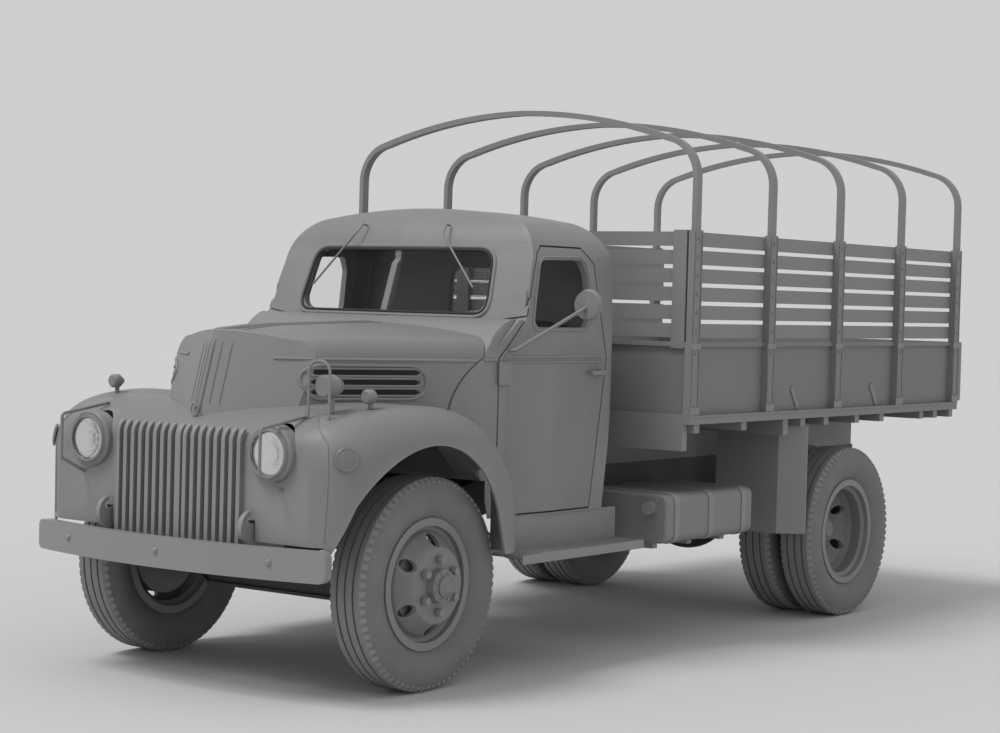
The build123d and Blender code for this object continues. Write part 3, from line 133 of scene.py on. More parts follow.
def finish(name, colour, roughness, patch=0.14, patch_size=2.2, grain=220.0, bump=0.05, edge=0.22,
           metallic=0.0, coat=0.0):
    """A material whose colour, roughness and fine bump come from the wear group."""
    material = bpy.data.materials.new(name)
    material.use_nodes = True
    tree = material.node_tree
    shader = tree.nodes["Principled BSDF"]
    wear = tree.nodes.new("ShaderNodeGroup")
    wear.node_tree = surface_wear
    wear.inputs["Colour"].default_value = (colour[0], colour[1], colour[2], 1)
    wear.inputs["Patch Size"].default_value = patch_size
    wear.inputs["Patch Amount"].default_value = patch
    wear.inputs["Grain Size"].default_value = grain
    wear.inputs["Edge Amount"].default_value = edge
    wear.inputs["Roughness"].default_value = roughness
    relief = tree.nodes.new("ShaderNodeBump")
    relief.inputs["Strength"].default_value = bump
    relief.inputs["Distance"].default_value = 0.002
    tree.links.new(wear.outputs["Colour"], shader.inputs["Base Color"])
    tree.links.new(wear.outputs["Roughness"], shader.inputs["Roughness"])
    tree.links.new(wear.outputs["Height"], relief.inputs["Height"])
    tree.links.new(relief.outputs["Normal"], shader.inputs["Normal"])
    shader.inputs["Metallic"].default_value = metallic
    shader.inputs["Coat Weight"].default_value = coat
    material.diffuse_color = (colour[0], colour[1], colour[2], 1)
    return material


# %% [markdown]
# ## The finishes
# The picture is black and white, so every paint is a neutral grey of about the tone that it shows:
# a flat sprayed body, a slightly darker chassis, dusty tyres and a bright lamp reflector.

# %% Paints, rubber, glass and cloth
body_paint = finish("body_paint", (0.215, 0.215, 0.210), 0.48, bump=0.04)
bed_paint = finish("bed_paint", (0.205, 0.205, 0.200), 0.58, patch=0.2, patch_size=3.0, bump=0.08)
chassis_paint = finish("chassis_paint", (0.055, 0.055, 0.053), 0.6, patch=0.3, bump=0.1)
tyre_rubber = finish("tyre_rubber", (0.190, 0.187, 0.180), 0.85, patch=0.45, patch_size=9, grain=90,
                     bump=0.25, edge=0.5)
wheel_paint = finish("wheel_paint", (0.200, 0.200, 0.196), 0.46, patch=0.2, patch_size=6)
seat_cloth = finish("seat_cloth", (0.10, 0.098, 0.092), 0.8, grain=600, bump=0.35, edge=0.1)
black_grip = finish("black_grip", (0.30, 0.30, 0.30), 0.3, coat=0.4)
# Near-black painted shade: the louvre slots are not cut, so this colour stands in for the shade inside
# them.
louvre_shade_paint = finish("louvre_shade_paint", (0.012, 0.012, 0.012), 0.8, edge=0.0)
window_rubber = finish("window_rubber", (0.03, 0.03, 0.03), 0.7, edge=0.1)
bright_metal = finish("bright_metal", (0.75, 0.75, 0.75), 0.16, patch=0.05, bump=0.0, edge=0.0,
                      metallic=1.0)
wire_grey = finish("wire_grey", (0.16, 0.16, 0.16), 0.5, edge=0.0)
reflector_lens = finish("reflector_glass", (0.17, 0.17, 0.17), 0.25, edge=0.0, coat=0.5)


def clear_glass(name, tint, ripple=0.0):
    """Clear glass; a ripple gives a lamp's lens its moulded flutes."""
    material = bpy.data.materials.new(name)
    material.use_nodes = True
    tree = material.node_tree
    shader = tree.nodes["Principled BSDF"]
    shader.inputs["Base Color"].default_value = (tint, tint, tint, 1)
    shader.inputs["Roughness"].default_value = 0.03
    shader.inputs["Transmission Weight"].default_value = 1.0
    shader.inputs["IOR"].default_value = 1.12
    if ripple:
        place = tree.nodes.new("ShaderNodeTexCoord")
        wave = tree.nodes.new("ShaderNodeTexWave")
        wave.bands_direction = "X"
        wave.inputs["Scale"].default_value = 34
        relief = tree.nodes.new("ShaderNodeBump")
        relief.inputs["Strength"].default_value = ripple
        relief.inputs["Distance"].default_value = 0.002
        tree.links.new(place.outputs["Object"], wave.inputs["Vector"])
        tree.links.new(wave.outputs["Fac"], relief.inputs["Height"])
        tree.links.new(relief.outputs["Normal"], shader.inputs["Normal"])
    return material


window_glass = clear_glass("window_glass", 0.93)
lamp_glass = clear_glass("lamp_glass", 0.97, ripple=0.6)

# %% Each solid piece gets its finish
finish_of = {
    "cab_glass": window_glass, "lamp_lenses": lamp_glass, "seat": seat_cloth,
    "steering_wheel": black_grip,
    "frame": chassis_paint, "front_axle": chassis_paint, "rear_axle": chassis_paint,
    "tie_rod": chassis_paint,
    "front_springs": chassis_paint, "rear_springs": chassis_paint, "drive_shaft": chassis_paint,
    "engine_block": chassis_paint, "radiator": chassis_paint, "knuckle_left": chassis_paint,
    "knuckle_right": chassis_paint,
}
bed_nodes = ("bed_floor", "bed_sides", "bed_sills", "bows", "rack_slats", "headboard", "tailgate",
             "gate_brackets", "splash_guards")
for name, piece in nodes.items():
    chosen = finish_of.get(name, body_paint)
    if name in bed_nodes:
        chosen = bed_paint
    if name.startswith("tyre"):
        chosen = tyre_rubber
    if name.startswith(("rim", "hub")):
        chosen = wheel_paint
    piece.data.materials.clear()
    piece.data.materials.append(chosen)
print("finishes", len(bpy.data.materials))

# %% [markdown]
# ## Helpers
# A new piece is a mesh in the truck's own frame. The beads and trims lie on curved sheet metal, so
# their paths are found by casting rays at the solid pieces and keeping the points that they hit.

# %% Mesh helpers
def keep(mesh_name, mesh, body, material, smooth=True):
    """Makes an object of a mesh, shades it and lets it ride on a body."""
    if smooth:
        for face in mesh.polygons:
            face.use_smooth = True
    mesh.materials.clear()
    mesh.materials.append(material)
    piece = bpy.data.objects.new(mesh_name, mesh)
    bpy.context.scene.collection.objects.link(piece)
    if smooth:
        mesh.set_sharp_from_angle(angle=math.radians(35))
    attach(piece, body)
    return piece


def skin_of(*names):
    """A tree of the solids' triangles, for casting rays at."""
    corners = []
    faces = []
    for name in names:
        mesh = nodes[name].data
        base = len(corners)
        corners += [v.co.copy() for v in mesh.vertices]
        faces += [[base + i for i in p.vertices] for p in mesh.polygons]
    return BVHTree.FromPolygons(corners, faces)


def land(skin, start, way, lift=0.0):
    """The point where a ray meets a skin, raised along the skin's own normal, and that normal."""
    way = Vector(way).normalized()
    hit, normal, _, _ = skin.ray_cast(Vector(start), way)
    if hit is None:
        return None, None
    if normal.dot(way) > 0:
        normal = -normal
    return hit + normal * lift, normal


# %% [markdown]
# ## A tree that sweeps a round or flat bead along a path
# Pressed beads, window rubbers and bent rods are all one section on a path. The tree turns the
# path's edges into a curve, sweeps an ellipse of two named radii along it and sets the material.

# %% Bead tree
def bead_tree():
    tree = bpy.data.node_groups.new("bead_along_path", "GeometryNodeTree")
    tree.interface.new_socket("Path", in_out="INPUT", socket_type="NodeSocketGeometry")
    for label, kind, value in (("Radius", "NodeSocketFloat", 0.006), ("Sides", "NodeSocketInt", 8)):
        socket = tree.interface.new_socket(label, in_out="INPUT", socket_type=kind)
        socket.default_value = value
    tree.interface.new_socket("Material", in_out="INPUT", socket_type="NodeSocketMaterial")
    tree.interface.new_socket("Bead", in_out="OUTPUT", socket_type="NodeSocketGeometry")
    start = tree.nodes.new("NodeGroupInput")
    end = tree.nodes.new("NodeGroupOutput")
    path = tree.nodes.new("GeometryNodeMeshToCurve")
    ring = tree.nodes.new("GeometryNodeCurvePrimitiveCircle")
    sweep = tree.nodes.new("GeometryNodeCurveToMesh")
    sweep.inputs["Fill Caps"].default_value = True
    real = tree.nodes.new("GeometryNodeRealizeInstances")
    paint = tree.nodes.new("GeometryNodeSetMaterial")
    link = tree.links.new
    link(start.outputs["Path"], path.inputs["Mesh"])
    link(start.outputs["Sides"], ring.inputs["Resolution"])
    link(start.outputs["Radius"], ring.inputs["Radius"])
    link(path.outputs["Curve"], sweep.inputs["Curve"])
    link(ring.outputs["Curve"], sweep.inputs["Profile Curve"])
    link(sweep.outputs["Mesh"], real.inputs["Geometry"])
    link(real.outputs["Geometry"], paint.inputs["Geometry"])
    link(start.outputs["Material"], paint.inputs["Material"])
    link(paint.outputs["Geometry"], end.inputs["Bead"])
    return tree


# %% [markdown]
# ## A tree that sets a rivet or a nut on each point
# Each point carries a turn, an Euler rotation that points the head's axis out of the sheet. A cone
# with 6 sides is a nut, and one with more sides and a smaller top is a rivet's head.

# %% Head tree
def head_tree():
    tree = bpy.data.node_groups.new("head_on_points", "GeometryNodeTree")
    tree.interface.new_socket("Points", in_out="INPUT", socket_type="NodeSocketGeometry")
    for label, kind, value in (("Radius", "NodeSocketFloat", 0.008), ("Top Share", "NodeSocketFloat", 0.6),
                               ("Height", "NodeSocketFloat", 0.004), ("Sides", "NodeSocketInt", 10)):
        socket = tree.interface.new_socket(label, in_out="INPUT", socket_type=kind)
        socket.default_value = value
    tree.interface.new_socket("Material", in_out="INPUT", socket_type="NodeSocketMaterial")
    tree.interface.new_socket("Heads", in_out="OUTPUT", socket_type="NodeSocketGeometry")
    start = tree.nodes.new("NodeGroupInput")
    end = tree.nodes.new("NodeGroupOutput")
    points = tree.nodes.new("GeometryNodeMeshToPoints")
    cone = tree.nodes.new("GeometryNodeMeshCone")
    top = tree.nodes.new("ShaderNodeMath")
    top.operation = "MULTIPLY"
    turn = tree.nodes.new("GeometryNodeInputNamedAttribute")
    turn.data_type = "FLOAT_VECTOR"
    turn.inputs["Name"].default_value = "turn"
    place = tree.nodes.new("GeometryNodeInstanceOnPoints")
    real = tree.nodes.new("GeometryNodeRealizeInstances")
    paint = tree.nodes.new("GeometryNodeSetMaterial")
    link = tree.links.new
    link(start.outputs["Points"], points.inputs["Mesh"])
    link(start.outputs["Radius"], cone.inputs["Radius Bottom"])
    link(start.outputs["Radius"], top.inputs[0])
    link(start.outputs["Top Share"], top.inputs[1])
    link(top.outputs[0], cone.inputs["Radius Top"])
    link(start.outputs["Height"], cone.inputs["Depth"])
    link(start.outputs["Sides"], cone.inputs["Vertices"])
    link(points.outputs["Points"], place.inputs["Points"])
    link(cone.outputs["Mesh"], place.inputs["Instance"])
    link(turn.outputs["Attribute"], place.inputs["Rotation"])
    link(place.outputs["Instances"], real.inputs["Geometry"])
    link(real.outputs["Geometry"], paint.inputs["Geometry"])
    link(start.outputs["Material"], paint.inputs["Material"])
    link(paint.outputs["Geometry"], end.inputs["Heads"])
    return tree


bead_nodes = bead_tree()
head_nodes = head_tree()


def run_tree(tree, source, label, body, material, smooth=True, **sizes):
    """Runs a tree on a mesh, keeps the result as a plain mesh and throws the modifier away."""
    holder = bpy.data.objects.new(label + "_source", source)
    bpy.context.scene.collection.objects.link(holder)
    modifier = holder.modifiers.new("tree", "NODES")
    modifier.node_group = tree
    wanted = dict(sizes)
    wanted["Material"] = material
    for item in tree.interface.items_tree:
        if item.in_out == "INPUT" and item.name in wanted:
            modifier[item.identifier] = wanted[item.name]
    graph = bpy.context.evaluated_depsgraph_get()
    mesh = bpy.data.meshes.new_from_object(holder.evaluated_get(graph))
    bpy.data.objects.remove(holder)
    mesh.name = label
    shape = bmesh.new()
    shape.from_mesh(mesh)
    bmesh.ops.recalc_face_normals(shape, faces=shape.faces)
    shape.to_mesh(mesh)
    shape.free()
    return keep(label, mesh, body, material, smooth)


def bead(label, paths, body, material=body_paint, radius=0.006, sides=8, closed=False):
    """Round beads along one or more lists of points."""
    mesh = bpy.data.meshes.new(label)
    corners = []
    edges = []
    for path in paths:
        base = len(corners)
        corners += [tuple(p) for p in path]
        edges += [(base + i, base + i + 1) for i in range(len(path) - 1)]
        if closed:
            edges.append((base + len(path) - 1, base))
    mesh.from_pydata(corners, edges, [])
    return run_tree(bead_nodes, mesh, label, body, material, Radius=radius, Sides=sides)


def heads(label, places, body, material=body_paint, radius=0.008, height=0.004, top=0.6, sides=10):
    """Rivets or nuts; places is a list of points and the directions that their heads point in."""
    mesh = bpy.data.meshes.new(label)
    mesh.from_pydata([tuple(p) for p, _ in places], [], [])
    turn = mesh.attributes.new("turn", "FLOAT_VECTOR", "POINT")
    for index, (_, way) in enumerate(places):
        turn.data[index].vector = Vector(way).to_track_quat("Z", "Y").to_euler()
    settings = {"Radius": radius, "Top Share": top, "Height": height, "Sides": sides}
    return run_tree(head_nodes, mesh, label, body, material, smooth=sides > 6, **settings)


def eased(path, rounds=3):
    """A path with the small steps between facets smoothed out; its ends stay."""
    for _ in range(rounds):
        between = [(a + b * 2 + c) / 4 for a, b, c in zip(path, path[1:], path[2:])]
        path = [path[0]] + between + [path[-1]]
    return path


def both(points):
    """The points and their mirror images on the truck's other side."""
    return [points, [Vector((-p.x, p.y, p.z)) for p in points]]


# %% [markdown]
# ## Hood
# Two round beads run up the middle of the pointed nose and back to the windshield, with the edges of
# a pressed band on each side of them, and a bead follows the belt along both sides. Rays aimed at a
# point inside the nose find its curved part, and rays from above find the flat part behind it.

# %% Hood's centre band and belt beads
hood_skin = skin_of("hood")
nose_middle = at(0, -0.16, 1.14)
band_runs = ((-0.010, 0.006, 2), (0.010, 0.006, 2), (-0.042, 0.0032, 8), (-0.080, 0.0032, 8),
             (0.042, 0.0032, 8), (0.080, 0.0032, 8))
band_paths = {0.006: [], 0.0032: []}
for offset, size, lowest in band_runs:
    path = []
    for step in range(25):
        angle = math.radians(lowest + (90 - lowest) * step / 24)
        way = Vector((0, -math.cos(angle), math.sin(angle)))
        start = nose_middle + Vector((offset, 0, 0)) + way * 1.2
        hit, _ = land(hood_skin, start, -way, 0.001)
        if hit:
            path.append(hit)
    for step in range(1, 20):
        back = -0.16 + 0.74 * step / 19
        hit, _ = land(hood_skin, at(offset, back, 2.0), (0, 0, -1), 0.001)
        if hit:
            path.append(hit)
    band_paths[size].append(eased(path))
bead("hood_centre_beads", band_paths[0.006], "hood", radius=0.006)
bead("hood_band_edges", band_paths[0.0032], "hood", radius=0.0032)

belt_path = []
for step in range(40):
    back = -0.365 + 0.800 * step / 39
    hit, _ = land(hood_skin, at(1.2, back, 1.384), (-1, 0, 0), 0.0)
    if hit:
        belt_path.append(hit)
bead("hood_belt_beads", both(eased(belt_path)), "hood", radius=0.007)
print("belt bead points", len(belt_path))

# %% [markdown]
# ## Hood side louvres
# Three long slots lie in one raised frame with round ends. The slots are not cut open: each is a
# near-black strip laid on the hood's side, painted shade for the dark inside of the opening, and the
# ribs and the frame are beads round them.

# %% Louvres
slot_rows = (1.246, 1.288, 1.330)
louvre_front = -0.298
louvre_rear = 0.168


def side_point(back, height, lift):
    hit, _ = land(hood_skin, at(1.2, back, height), (-1, 0, 0), lift)
    return hit


def laid_strip(label, rows):
    """Quads through rows of points on the left side, doubled on the right, that all face outwards."""
    mesh = bpy.data.meshes.new(label)
    shape = bmesh.new()
    for flip in (1, -1):
        grid = [[shape.verts.new((p.x * flip, p.y, p.z)) for p in row] for row in rows]
        for low, high in zip(grid, grid[1:]):
            for i in range(len(low) - 1):
                shape.faces.new((low[i], low[i + 1], high[i + 1], high[i]))
    for face in shape.faces:
        face.normal_update()
        side = 1 if face.calc_center_median().x > 0 else -1
        if face.normal.x * side < 0:
            face.normal_flip()
    shape.to_mesh(mesh)
    shape.free()
    return mesh


slot_half = 0.011
slot_end = 0.0005
slot_lift = 0.0012
slot_steps = 24
for number, height in enumerate(slot_rows):
    rows = []
    for step in range(slot_steps + 1):
        share = step / slot_steps
        back = louvre_front + (louvre_rear - louvre_front) * share
        from_end = min(share, 1 - share) * (louvre_rear - louvre_front)
        round_end = max(0.0, 1 - from_end / slot_half)
        reach = slot_half * math.sqrt(max(0.0, 1 - round_end ** 2)) + slot_end
        rows.append([side_point(back, height + reach * s, slot_lift) for s in (-1, 0, 1)])
    # Each strip is painted shade, laid where the slot's opening would be dark.
    label = f"louvre_slot_{number}"
    keep(label, laid_strip(label, rows), "hood", louvre_shade_paint)
print("louvre slots", len(slot_rows))


# %% Louvre frame and ribs
def slot_loop(low, high, front, rear, lift, steps=9):
    """A closed path with round ends on the hood's side."""
    radius = (high - low) / 2
    height = (high + low) / 2
    straight = 20
    run = rear - front - 2 * radius
    flat = []
    for step in range(straight + 1):
        flat.append((front + radius + run * step / straight, high))
    for step in range(1, steps):
        angle = math.radians(90 - 180 * step / steps)
        flat.append((rear - radius + radius * math.cos(angle), height + radius * math.sin(angle)))
    for step in range(straight + 1):
        flat.append((rear - radius - run * step / straight, low))
    for step in range(1, steps):
        angle = math.radians(270 - 180 * step / steps)
        flat.append((front + radius + radius * math.cos(angle), height + radius * math.sin(angle)))
    return [side_point(back, z, lift) for back, z in flat]


frame_low = 1.216
frame_high = 1.360
frame_past = 0.03
frame_loop = slot_loop(frame_low, frame_high, louvre_front - frame_past, louvre_rear + frame_past, 0.001)
bead("louvre_frames", both(frame_loop), "hood", radius=0.008, closed=True)
rib_half = 0.016
rib_past = 0.006
rib_front = louvre_front - rib_past
rib_rear = louvre_rear + rib_past
ribs = []
for height in slot_rows:
    ribs += both(slot_loop(height - rib_half, height + rib_half, rib_front, rib_rear, 0.001))
bead("louvre_ribs", ribs, "hood", radius=0.0055, closed=True)
print("louvre ribs", len(ribs))

# %% [markdown]
# ## Welt between the nose panel and the fenders
# A rolled cord of cloth closes the seam on each side of the lamps. Its path is drawn from the front
# and cast backwards on the sheet metal.

# %% Fender welts
seam_half = 0.790
nose_skin = skin_of("front_panel", "fender_left")
welt_corners = ((0.016, 0.60), (0.002, 0.97), (0.018, 1.06), (0.075, 1.115), (0.17, 1.158))
welt_flat = [Vector((seam_half - inward, height)) for inward, height in welt_corners]
welt = []
for low, high in zip(welt_flat, welt_flat[1:]):
    for step in range(10):
        spot = low.lerp(high, step / 10)
        hit, _ = land(nose_skin, at(spot.x, -1.2, spot.y), (0, 1, 0), 0.001)
        if hit and hit.y < axle_y - 0.2:
            welt.append(hit)
bead("fender_welts", both(eased(welt, 5)), "truck", radius=0.0045)
print("welt points", len(welt))

# %% [markdown]
# ## Cab trims
# The windshield sits in a raised frame with a rubber inside it, a bead goes round each door's window,
# and a moulding of two beads runs along the belt of the door. Each path is cast on the shell or the
# door, so that it follows the skin.

# %% Window rubbers and belt mouldings
shell_skin = skin_of("cab_shell")
door_skin = skin_of("door_left")


def rounded(points, radius, steps=7):
    """A closed outline with its corners rounded, as flat points."""
    result = []
    count = len(points)
    for index in range(count):
        here = Vector(points[index])
        before = (Vector(points[index - 1]) - here).normalized()
        after = (Vector(points[(index + 1) % count]) - here).normalized()
        start = here + before * radius
        end = here + after * radius
        for step in range(steps + 1):
            t = step / steps
            result.append(start * (1 - t) ** 2 + here * 2 * t * (1 - t) + end * t * t)
    return result


def dense(points, gap=0.03):
    """The same closed outline with points no further apart than the gap."""
    result = []
    for index, point in enumerate(points):
        following = points[(index + 1) % len(points)]
        parts = max(1, int((following - point).length / gap))
        result += [point.lerp(following, step / parts) for step in range(parts)]
    return result


def grown(points, amount):
    middle_x = sum(p[0] for p in points) / len(points)
    middle_y = sum(p[1] for p in points) / len(points)
    return [(x + math.copysign(amount, x - middle_x), y + math.copysign(amount, y - middle_y))
            for x, y in points]


screen = [(0.556, 1.592), (0.520, 1.872), (-0.520, 1.872), (-0.556, 1.592)]
for label, amount, radius, material in (("screen_frame", 0.020, 0.009, body_paint),
                                        ("screen_rubber", 0.005, 0.006, window_rubber)):
    path = []
    for flat in dense(rounded(grown(screen, amount), 0.07 + amount)):
        hit, _ = land(shell_skin, at(flat.x, 0.2, flat.y), (0, 1, 0), 0.001)
        if hit and hit.y < axle_y + 0.95:
            path.append(hit)
    bead(label, [path], "truck", material, radius=radius, closed=True)

window = [(0.764, 1.534), (0.868, 1.838), (1.190, 1.846), (1.224, 1.780), (1.232, 1.590), (1.180, 1.534)]
path = []
for flat in dense(rounded(grown(window, 0.012), 0.04), 0.02):
    hit, _ = land(door_skin, at(1.4, flat.x, flat.y), (-1, 0, 0), 0.001)
    if hit and hit.x > 0.6:
        path.append(hit)
bead("window_bead_left", [path], "door_left", radius=0.006, closed=True)
bead("window_bead_right", [both(path)[1]], "door_right", radius=0.006, closed=True)

moulding = []
for height in (1.378, 1.402):
    starts = [at(1.4, 0.57 + 0.72 * step / 20, height) for step in range(21)]
    hits = [land(door_skin, start, (-1, 0, 0), 0.001)[0] for start in starts]
    moulding.append([hit for hit in hits if hit])
bead("door_moulding_left", moulding, "door_left", radius=0.006)
bead("door_moulding_right", [both(p)[1] for p in moulding], "door_right", radius=0.006)

cowl_mould = []
for step in range(8):
    hit, _ = land(shell_skin, at(1.4, 0.458 + 0.07 * step / 7, 1.388), (-1, 0, 0), 0.001)
    if hit:
        cowl_mould.append(hit)
if len(cowl_mould) > 2:
    bead("cowl_moulding", both(cowl_mould), "truck", radius=0.007)

# %% [markdown]
# ## Wire mesh behind the rear window
# A grid of thin wires guards the rear glass. A flat grid's edges go through the bead tree, which
# makes every wire at once.

# %% Rear window mesh
mesh_half = 0.182
mesh_low, mesh_high = 1.562, 1.798
mesh_back_low, mesh_back_high = 1.378, 1.392
upright_gaps = 24
level_gaps = 16
wires = []
for step in range(upright_gaps + 1):
    x = -mesh_half + 2 * mesh_half * step / upright_gaps
    wires.append([at(x, mesh_back_low, mesh_low), at(x, mesh_back_high, mesh_high)])
for step in range(level_gaps + 1):
    share = step / level_gaps
    z = mesh_low + (mesh_high - mesh_low) * share
    back = mesh_back_low + (mesh_back_high - mesh_back_low) * share
    wires.append([at(-mesh_half, back, z), at(mesh_half, back, z)])
bead("rear_window_mesh", wires, "truck", wire_grey, radius=0.0012, sides=4)
print("wires", len(wires))

# %% [markdown]
# ## Wheels
# Six big nuts hold each disc round its hub, and the hub's cap has a ring of small bolts. The tyre's
# shoulders have cross bars, made by a tree that sets one small block on each point of a circle.

# %% Nuts and hub bolts
front_half = 0.742
rear_half = 0.685
twin_half = 0.935
disc_out = 0.1248
nut_circle, nut_count, nut_proud = 0.111, 6, 0.008
bolt_circle, bolt_count, bolt_proud = 0.059, 8, 0.034


def ring_places(face, sign, circle, count, proud, first):
    """Places on a circle round a wheel's axle, each with the way that its head points in."""
    places = []
    for step in range(count):
        angle = math.radians(360 / count * step + first)
        spot = face + Vector((sign * proud, circle * math.cos(angle), circle * math.sin(angle)))
        places.append((spot, (sign, 0, 0)))
    return places


for side, sign in (("left", 1), ("right", -1)):
    for end, back, half in (("front", 0.0, front_half), ("rear", rear_axle, rear_half)):
        face = at(sign * (half + disc_out), back, wheel_z)
        wheel = f"wheel_{end}_{side}"
        nuts = ring_places(face, sign, nut_circle, nut_count, nut_proud, 90)
        heads(f"wheel_nuts_{end}_{side}", nuts, wheel, wheel_paint, radius=0.020, height=0.022, top=0.9,
              sides=6)
        bolts = ring_places(face, sign, bolt_circle, bolt_count, bolt_proud, 22)
        heads(f"hub_bolts_{end}_{side}", bolts, wheel, wheel_paint, radius=0.007, height=0.008, top=0.9,
              sides=6)
print("nuts on each wheel", nut_count, "and hub bolts", bolt_count)


# %% Tread blocks
def block_tree():
    tree = bpy.data.node_groups.new("blocks_round_wheel", "GeometryNodeTree")
    tree.interface.new_socket("Points", in_out="INPUT", socket_type="NodeSocketGeometry")
    for label, value in (("Length", 0.02), ("Width", 0.02), ("Height", 0.01)):
        socket = tree.interface.new_socket(label, in_out="INPUT", socket_type="NodeSocketFloat")
        socket.default_value = value
    tree.interface.new_socket("Material", in_out="INPUT", socket_type="NodeSocketMaterial")
    tree.interface.new_socket("Blocks", in_out="OUTPUT", socket_type="NodeSocketGeometry")
    start = tree.nodes.new("NodeGroupInput")
    end = tree.nodes.new("NodeGroupOutput")
    points = tree.nodes.new("GeometryNodeMeshToPoints")
    size = tree.nodes.new("ShaderNodeCombineXYZ")
    cube = tree.nodes.new("GeometryNodeMeshCube")
    turn = tree.nodes.new("GeometryNodeInputNamedAttribute")
    turn.data_type = "FLOAT_VECTOR"
    turn.inputs["Name"].default_value = "turn"
    place = tree.nodes.new("GeometryNodeInstanceOnPoints")
    real = tree.nodes.new("GeometryNodeRealizeInstances")
    paint = tree.nodes.new("GeometryNodeSetMaterial")
    link = tree.links.new
    link(start.outputs["Points"], points.inputs["Mesh"])
    link(start.outputs["Width"], size.inputs["X"])
    link(start.outputs["Length"], size.inputs["Y"])
    link(start.outputs["Height"], size.inputs["Z"])
    link(size.outputs["Vector"], cube.inputs["Size"])
    link(points.outputs["Points"], place.inputs["Points"])
    link(cube.outputs["Mesh"], place.inputs["Instance"])
    link(turn.outputs["Attribute"], place.inputs["Rotation"])
    link(place.outputs["Instances"], real.inputs["Geometry"])
    link(real.outputs["Geometry"], paint.inputs["Geometry"])
    link(start.outputs["Material"], paint.inputs["Material"])
    link(paint.outputs["Geometry"], end.inputs["Blocks"])
    return tree


block_nodes = block_tree()


def ring_blocks(label, centres, body, rows, count, size):
    """Blocks round a wheel. rows: offset from the tyre's middle, radius, tilt of the block and phase."""
    mesh = bpy.data.meshes.new(label)
    spots = []
    turns = []
    for centre in centres:
        for offset, radius, tilt, phase in rows:
            for step in range(count):
                angle = 2 * math.pi * (step + phase) / count
                spin = Matrix.Rotation(angle, 3, "X")
                lean = Matrix.Rotation(tilt, 3, "Y")
                spots.append(centre + spin @ Vector((offset, 0, radius)))
                turns.append((spin @ lean).to_euler())
    mesh.from_pydata([tuple(p) for p in spots], [], [])
    turn = mesh.attributes.new("turn", "FLOAT_VECTOR", "POINT")
    for index, value in enumerate(turns):
        turn.data[index].vector = value
    width, length, height = size
    run_tree(block_nodes, mesh, label, body, tyre_rubber, smooth=False, Width=width, Length=length,
             Height=height)


# %% Shoulder and side blocks of every tyre
wheel_sets = (
    ("front_left", [at(front_half, 0, wheel_z)]),
    ("front_right", [at(-front_half, 0, wheel_z)]),
    ("rear_left", [at(rear_half, rear_axle, wheel_z), at(twin_half, rear_axle, wheel_z)]),
    ("rear_right", [at(-rear_half, rear_axle, wheel_z), at(-twin_half, rear_axle, wheel_z)]),
)
block_count = 76
shoulder_size = (0.026, 0.021, 0.012)
side_size = (0.034, 0.007, 0.008)
shoulder_rows = [(-0.0805, 0.4385, -0.75, 0.0), (0.0805, 0.4385, 0.75, 0.0)]
side_rows = [(-0.0925, 0.408, -1.28, 0.5), (0.0925, 0.408, 1.28, 0.5)]
for name, centres in wheel_sets:
    wheel = f"wheel_{name}"
    ring_blocks(f"tread_shoulders_{name}", centres, wheel, shoulder_rows, block_count, shoulder_size)
    ring_blocks(f"tread_walls_{name}", centres, wheel, side_rows, block_count, side_size)
print("tread blocks in each row", block_count)

# %% [markdown]
# ## Bed hardware
# Rivets hold the side panels to their posts, narrow strips run down the posts, and short slanted
# strips stiffen the panels. All heads of one size are one piece.

# %% Rivets and bolts of the bed
bed_front, bed_rear, post_width = 1.680, 4.665, 0.074
span = (bed_rear - bed_front - post_width) / 4
posts = [bed_front + post_width / 2 + span * i for i in range(5)]
side_out = 1.049
panel_out = 1.0162
rivet_rows = (1.19, 1.25, 1.31, 1.37, 1.43)
rivet_from_post = 0.050
rivets = []
for sign in (1, -1):
    for post in posts:
        for height in rivet_rows:
            for shift in (-rivet_from_post, rivet_from_post):
                if 1.70 < post + shift < 4.65:
                    rivets.append((at(sign * panel_out, post + shift, height), (sign, 0, 0)))
heads("panel_rivets", rivets, "truck", bed_paint, radius=0.007, height=0.004)

slat_count = 6
slat_height = 0.068
rack_low, rack_high = 1.475, 2.001
slat_gap = (rack_high - rack_low - slat_count * slat_height) / slat_count
bolt_out = side_out + 0.001
slat_rows = [rack_low + slat_gap * (row + 1) + slat_height * (row + 0.5) for row in range(slat_count)]
bolts = []
for sign in (1, -1):
    for post in posts:
        for height in (*slat_rows, 1.165, 1.42):
            bolts.append((at(sign * bolt_out, post, height), (sign, 0, 0)))
heads("post_bolts", bolts, "truck", bed_paint, radius=0.008, height=0.005, top=0.8)
print("rivets", len(rivets), "post bolts", len(bolts))


# %% Slanted strips and post strips
def bar(shape, start, end, width, depth, up=(1, 0, 0)):
    """Adds a flat bar from start to end; its depth goes along up."""
    way = (Vector(end) - Vector(start)).normalized()
    out = Vector(up).normalized()
    across = way.cross(out).normalized()
    corners = []
    for base in (Vector(start), Vector(end)):
        for a, b in ((-1, 0), (1, 0), (1, 1), (-1, 1)):
            corners.append(shape.verts.new(base + across * a * width / 2 + out * b * depth))
    for quad in ((0, 1, 2, 3), (7, 6, 5, 4), (0, 4, 5, 1), (1, 5, 6, 2), (2, 6, 7, 3), (3, 7, 4, 0)):
        shape.faces.new([corners[i] for i in quad])


def bars(label, runs, body, material, bevel=0.002):
    """Flat bars with slightly rounded edges, as one piece."""
    shape = bmesh.new()
    for start, end, width, depth, up in runs:
        bar(shape, start, end, width, depth, up)
    bmesh.ops.recalc_face_normals(shape, faces=shape.faces)
    if bevel:
        bmesh.ops.bevel(shape, geom=shape.edges[:], offset=bevel, segments=1, affect="EDGES")
    mesh = bpy.data.meshes.new(label)
    shape.to_mesh(mesh)
    shape.free()
    return keep(label, mesh, body, material, smooth=False)


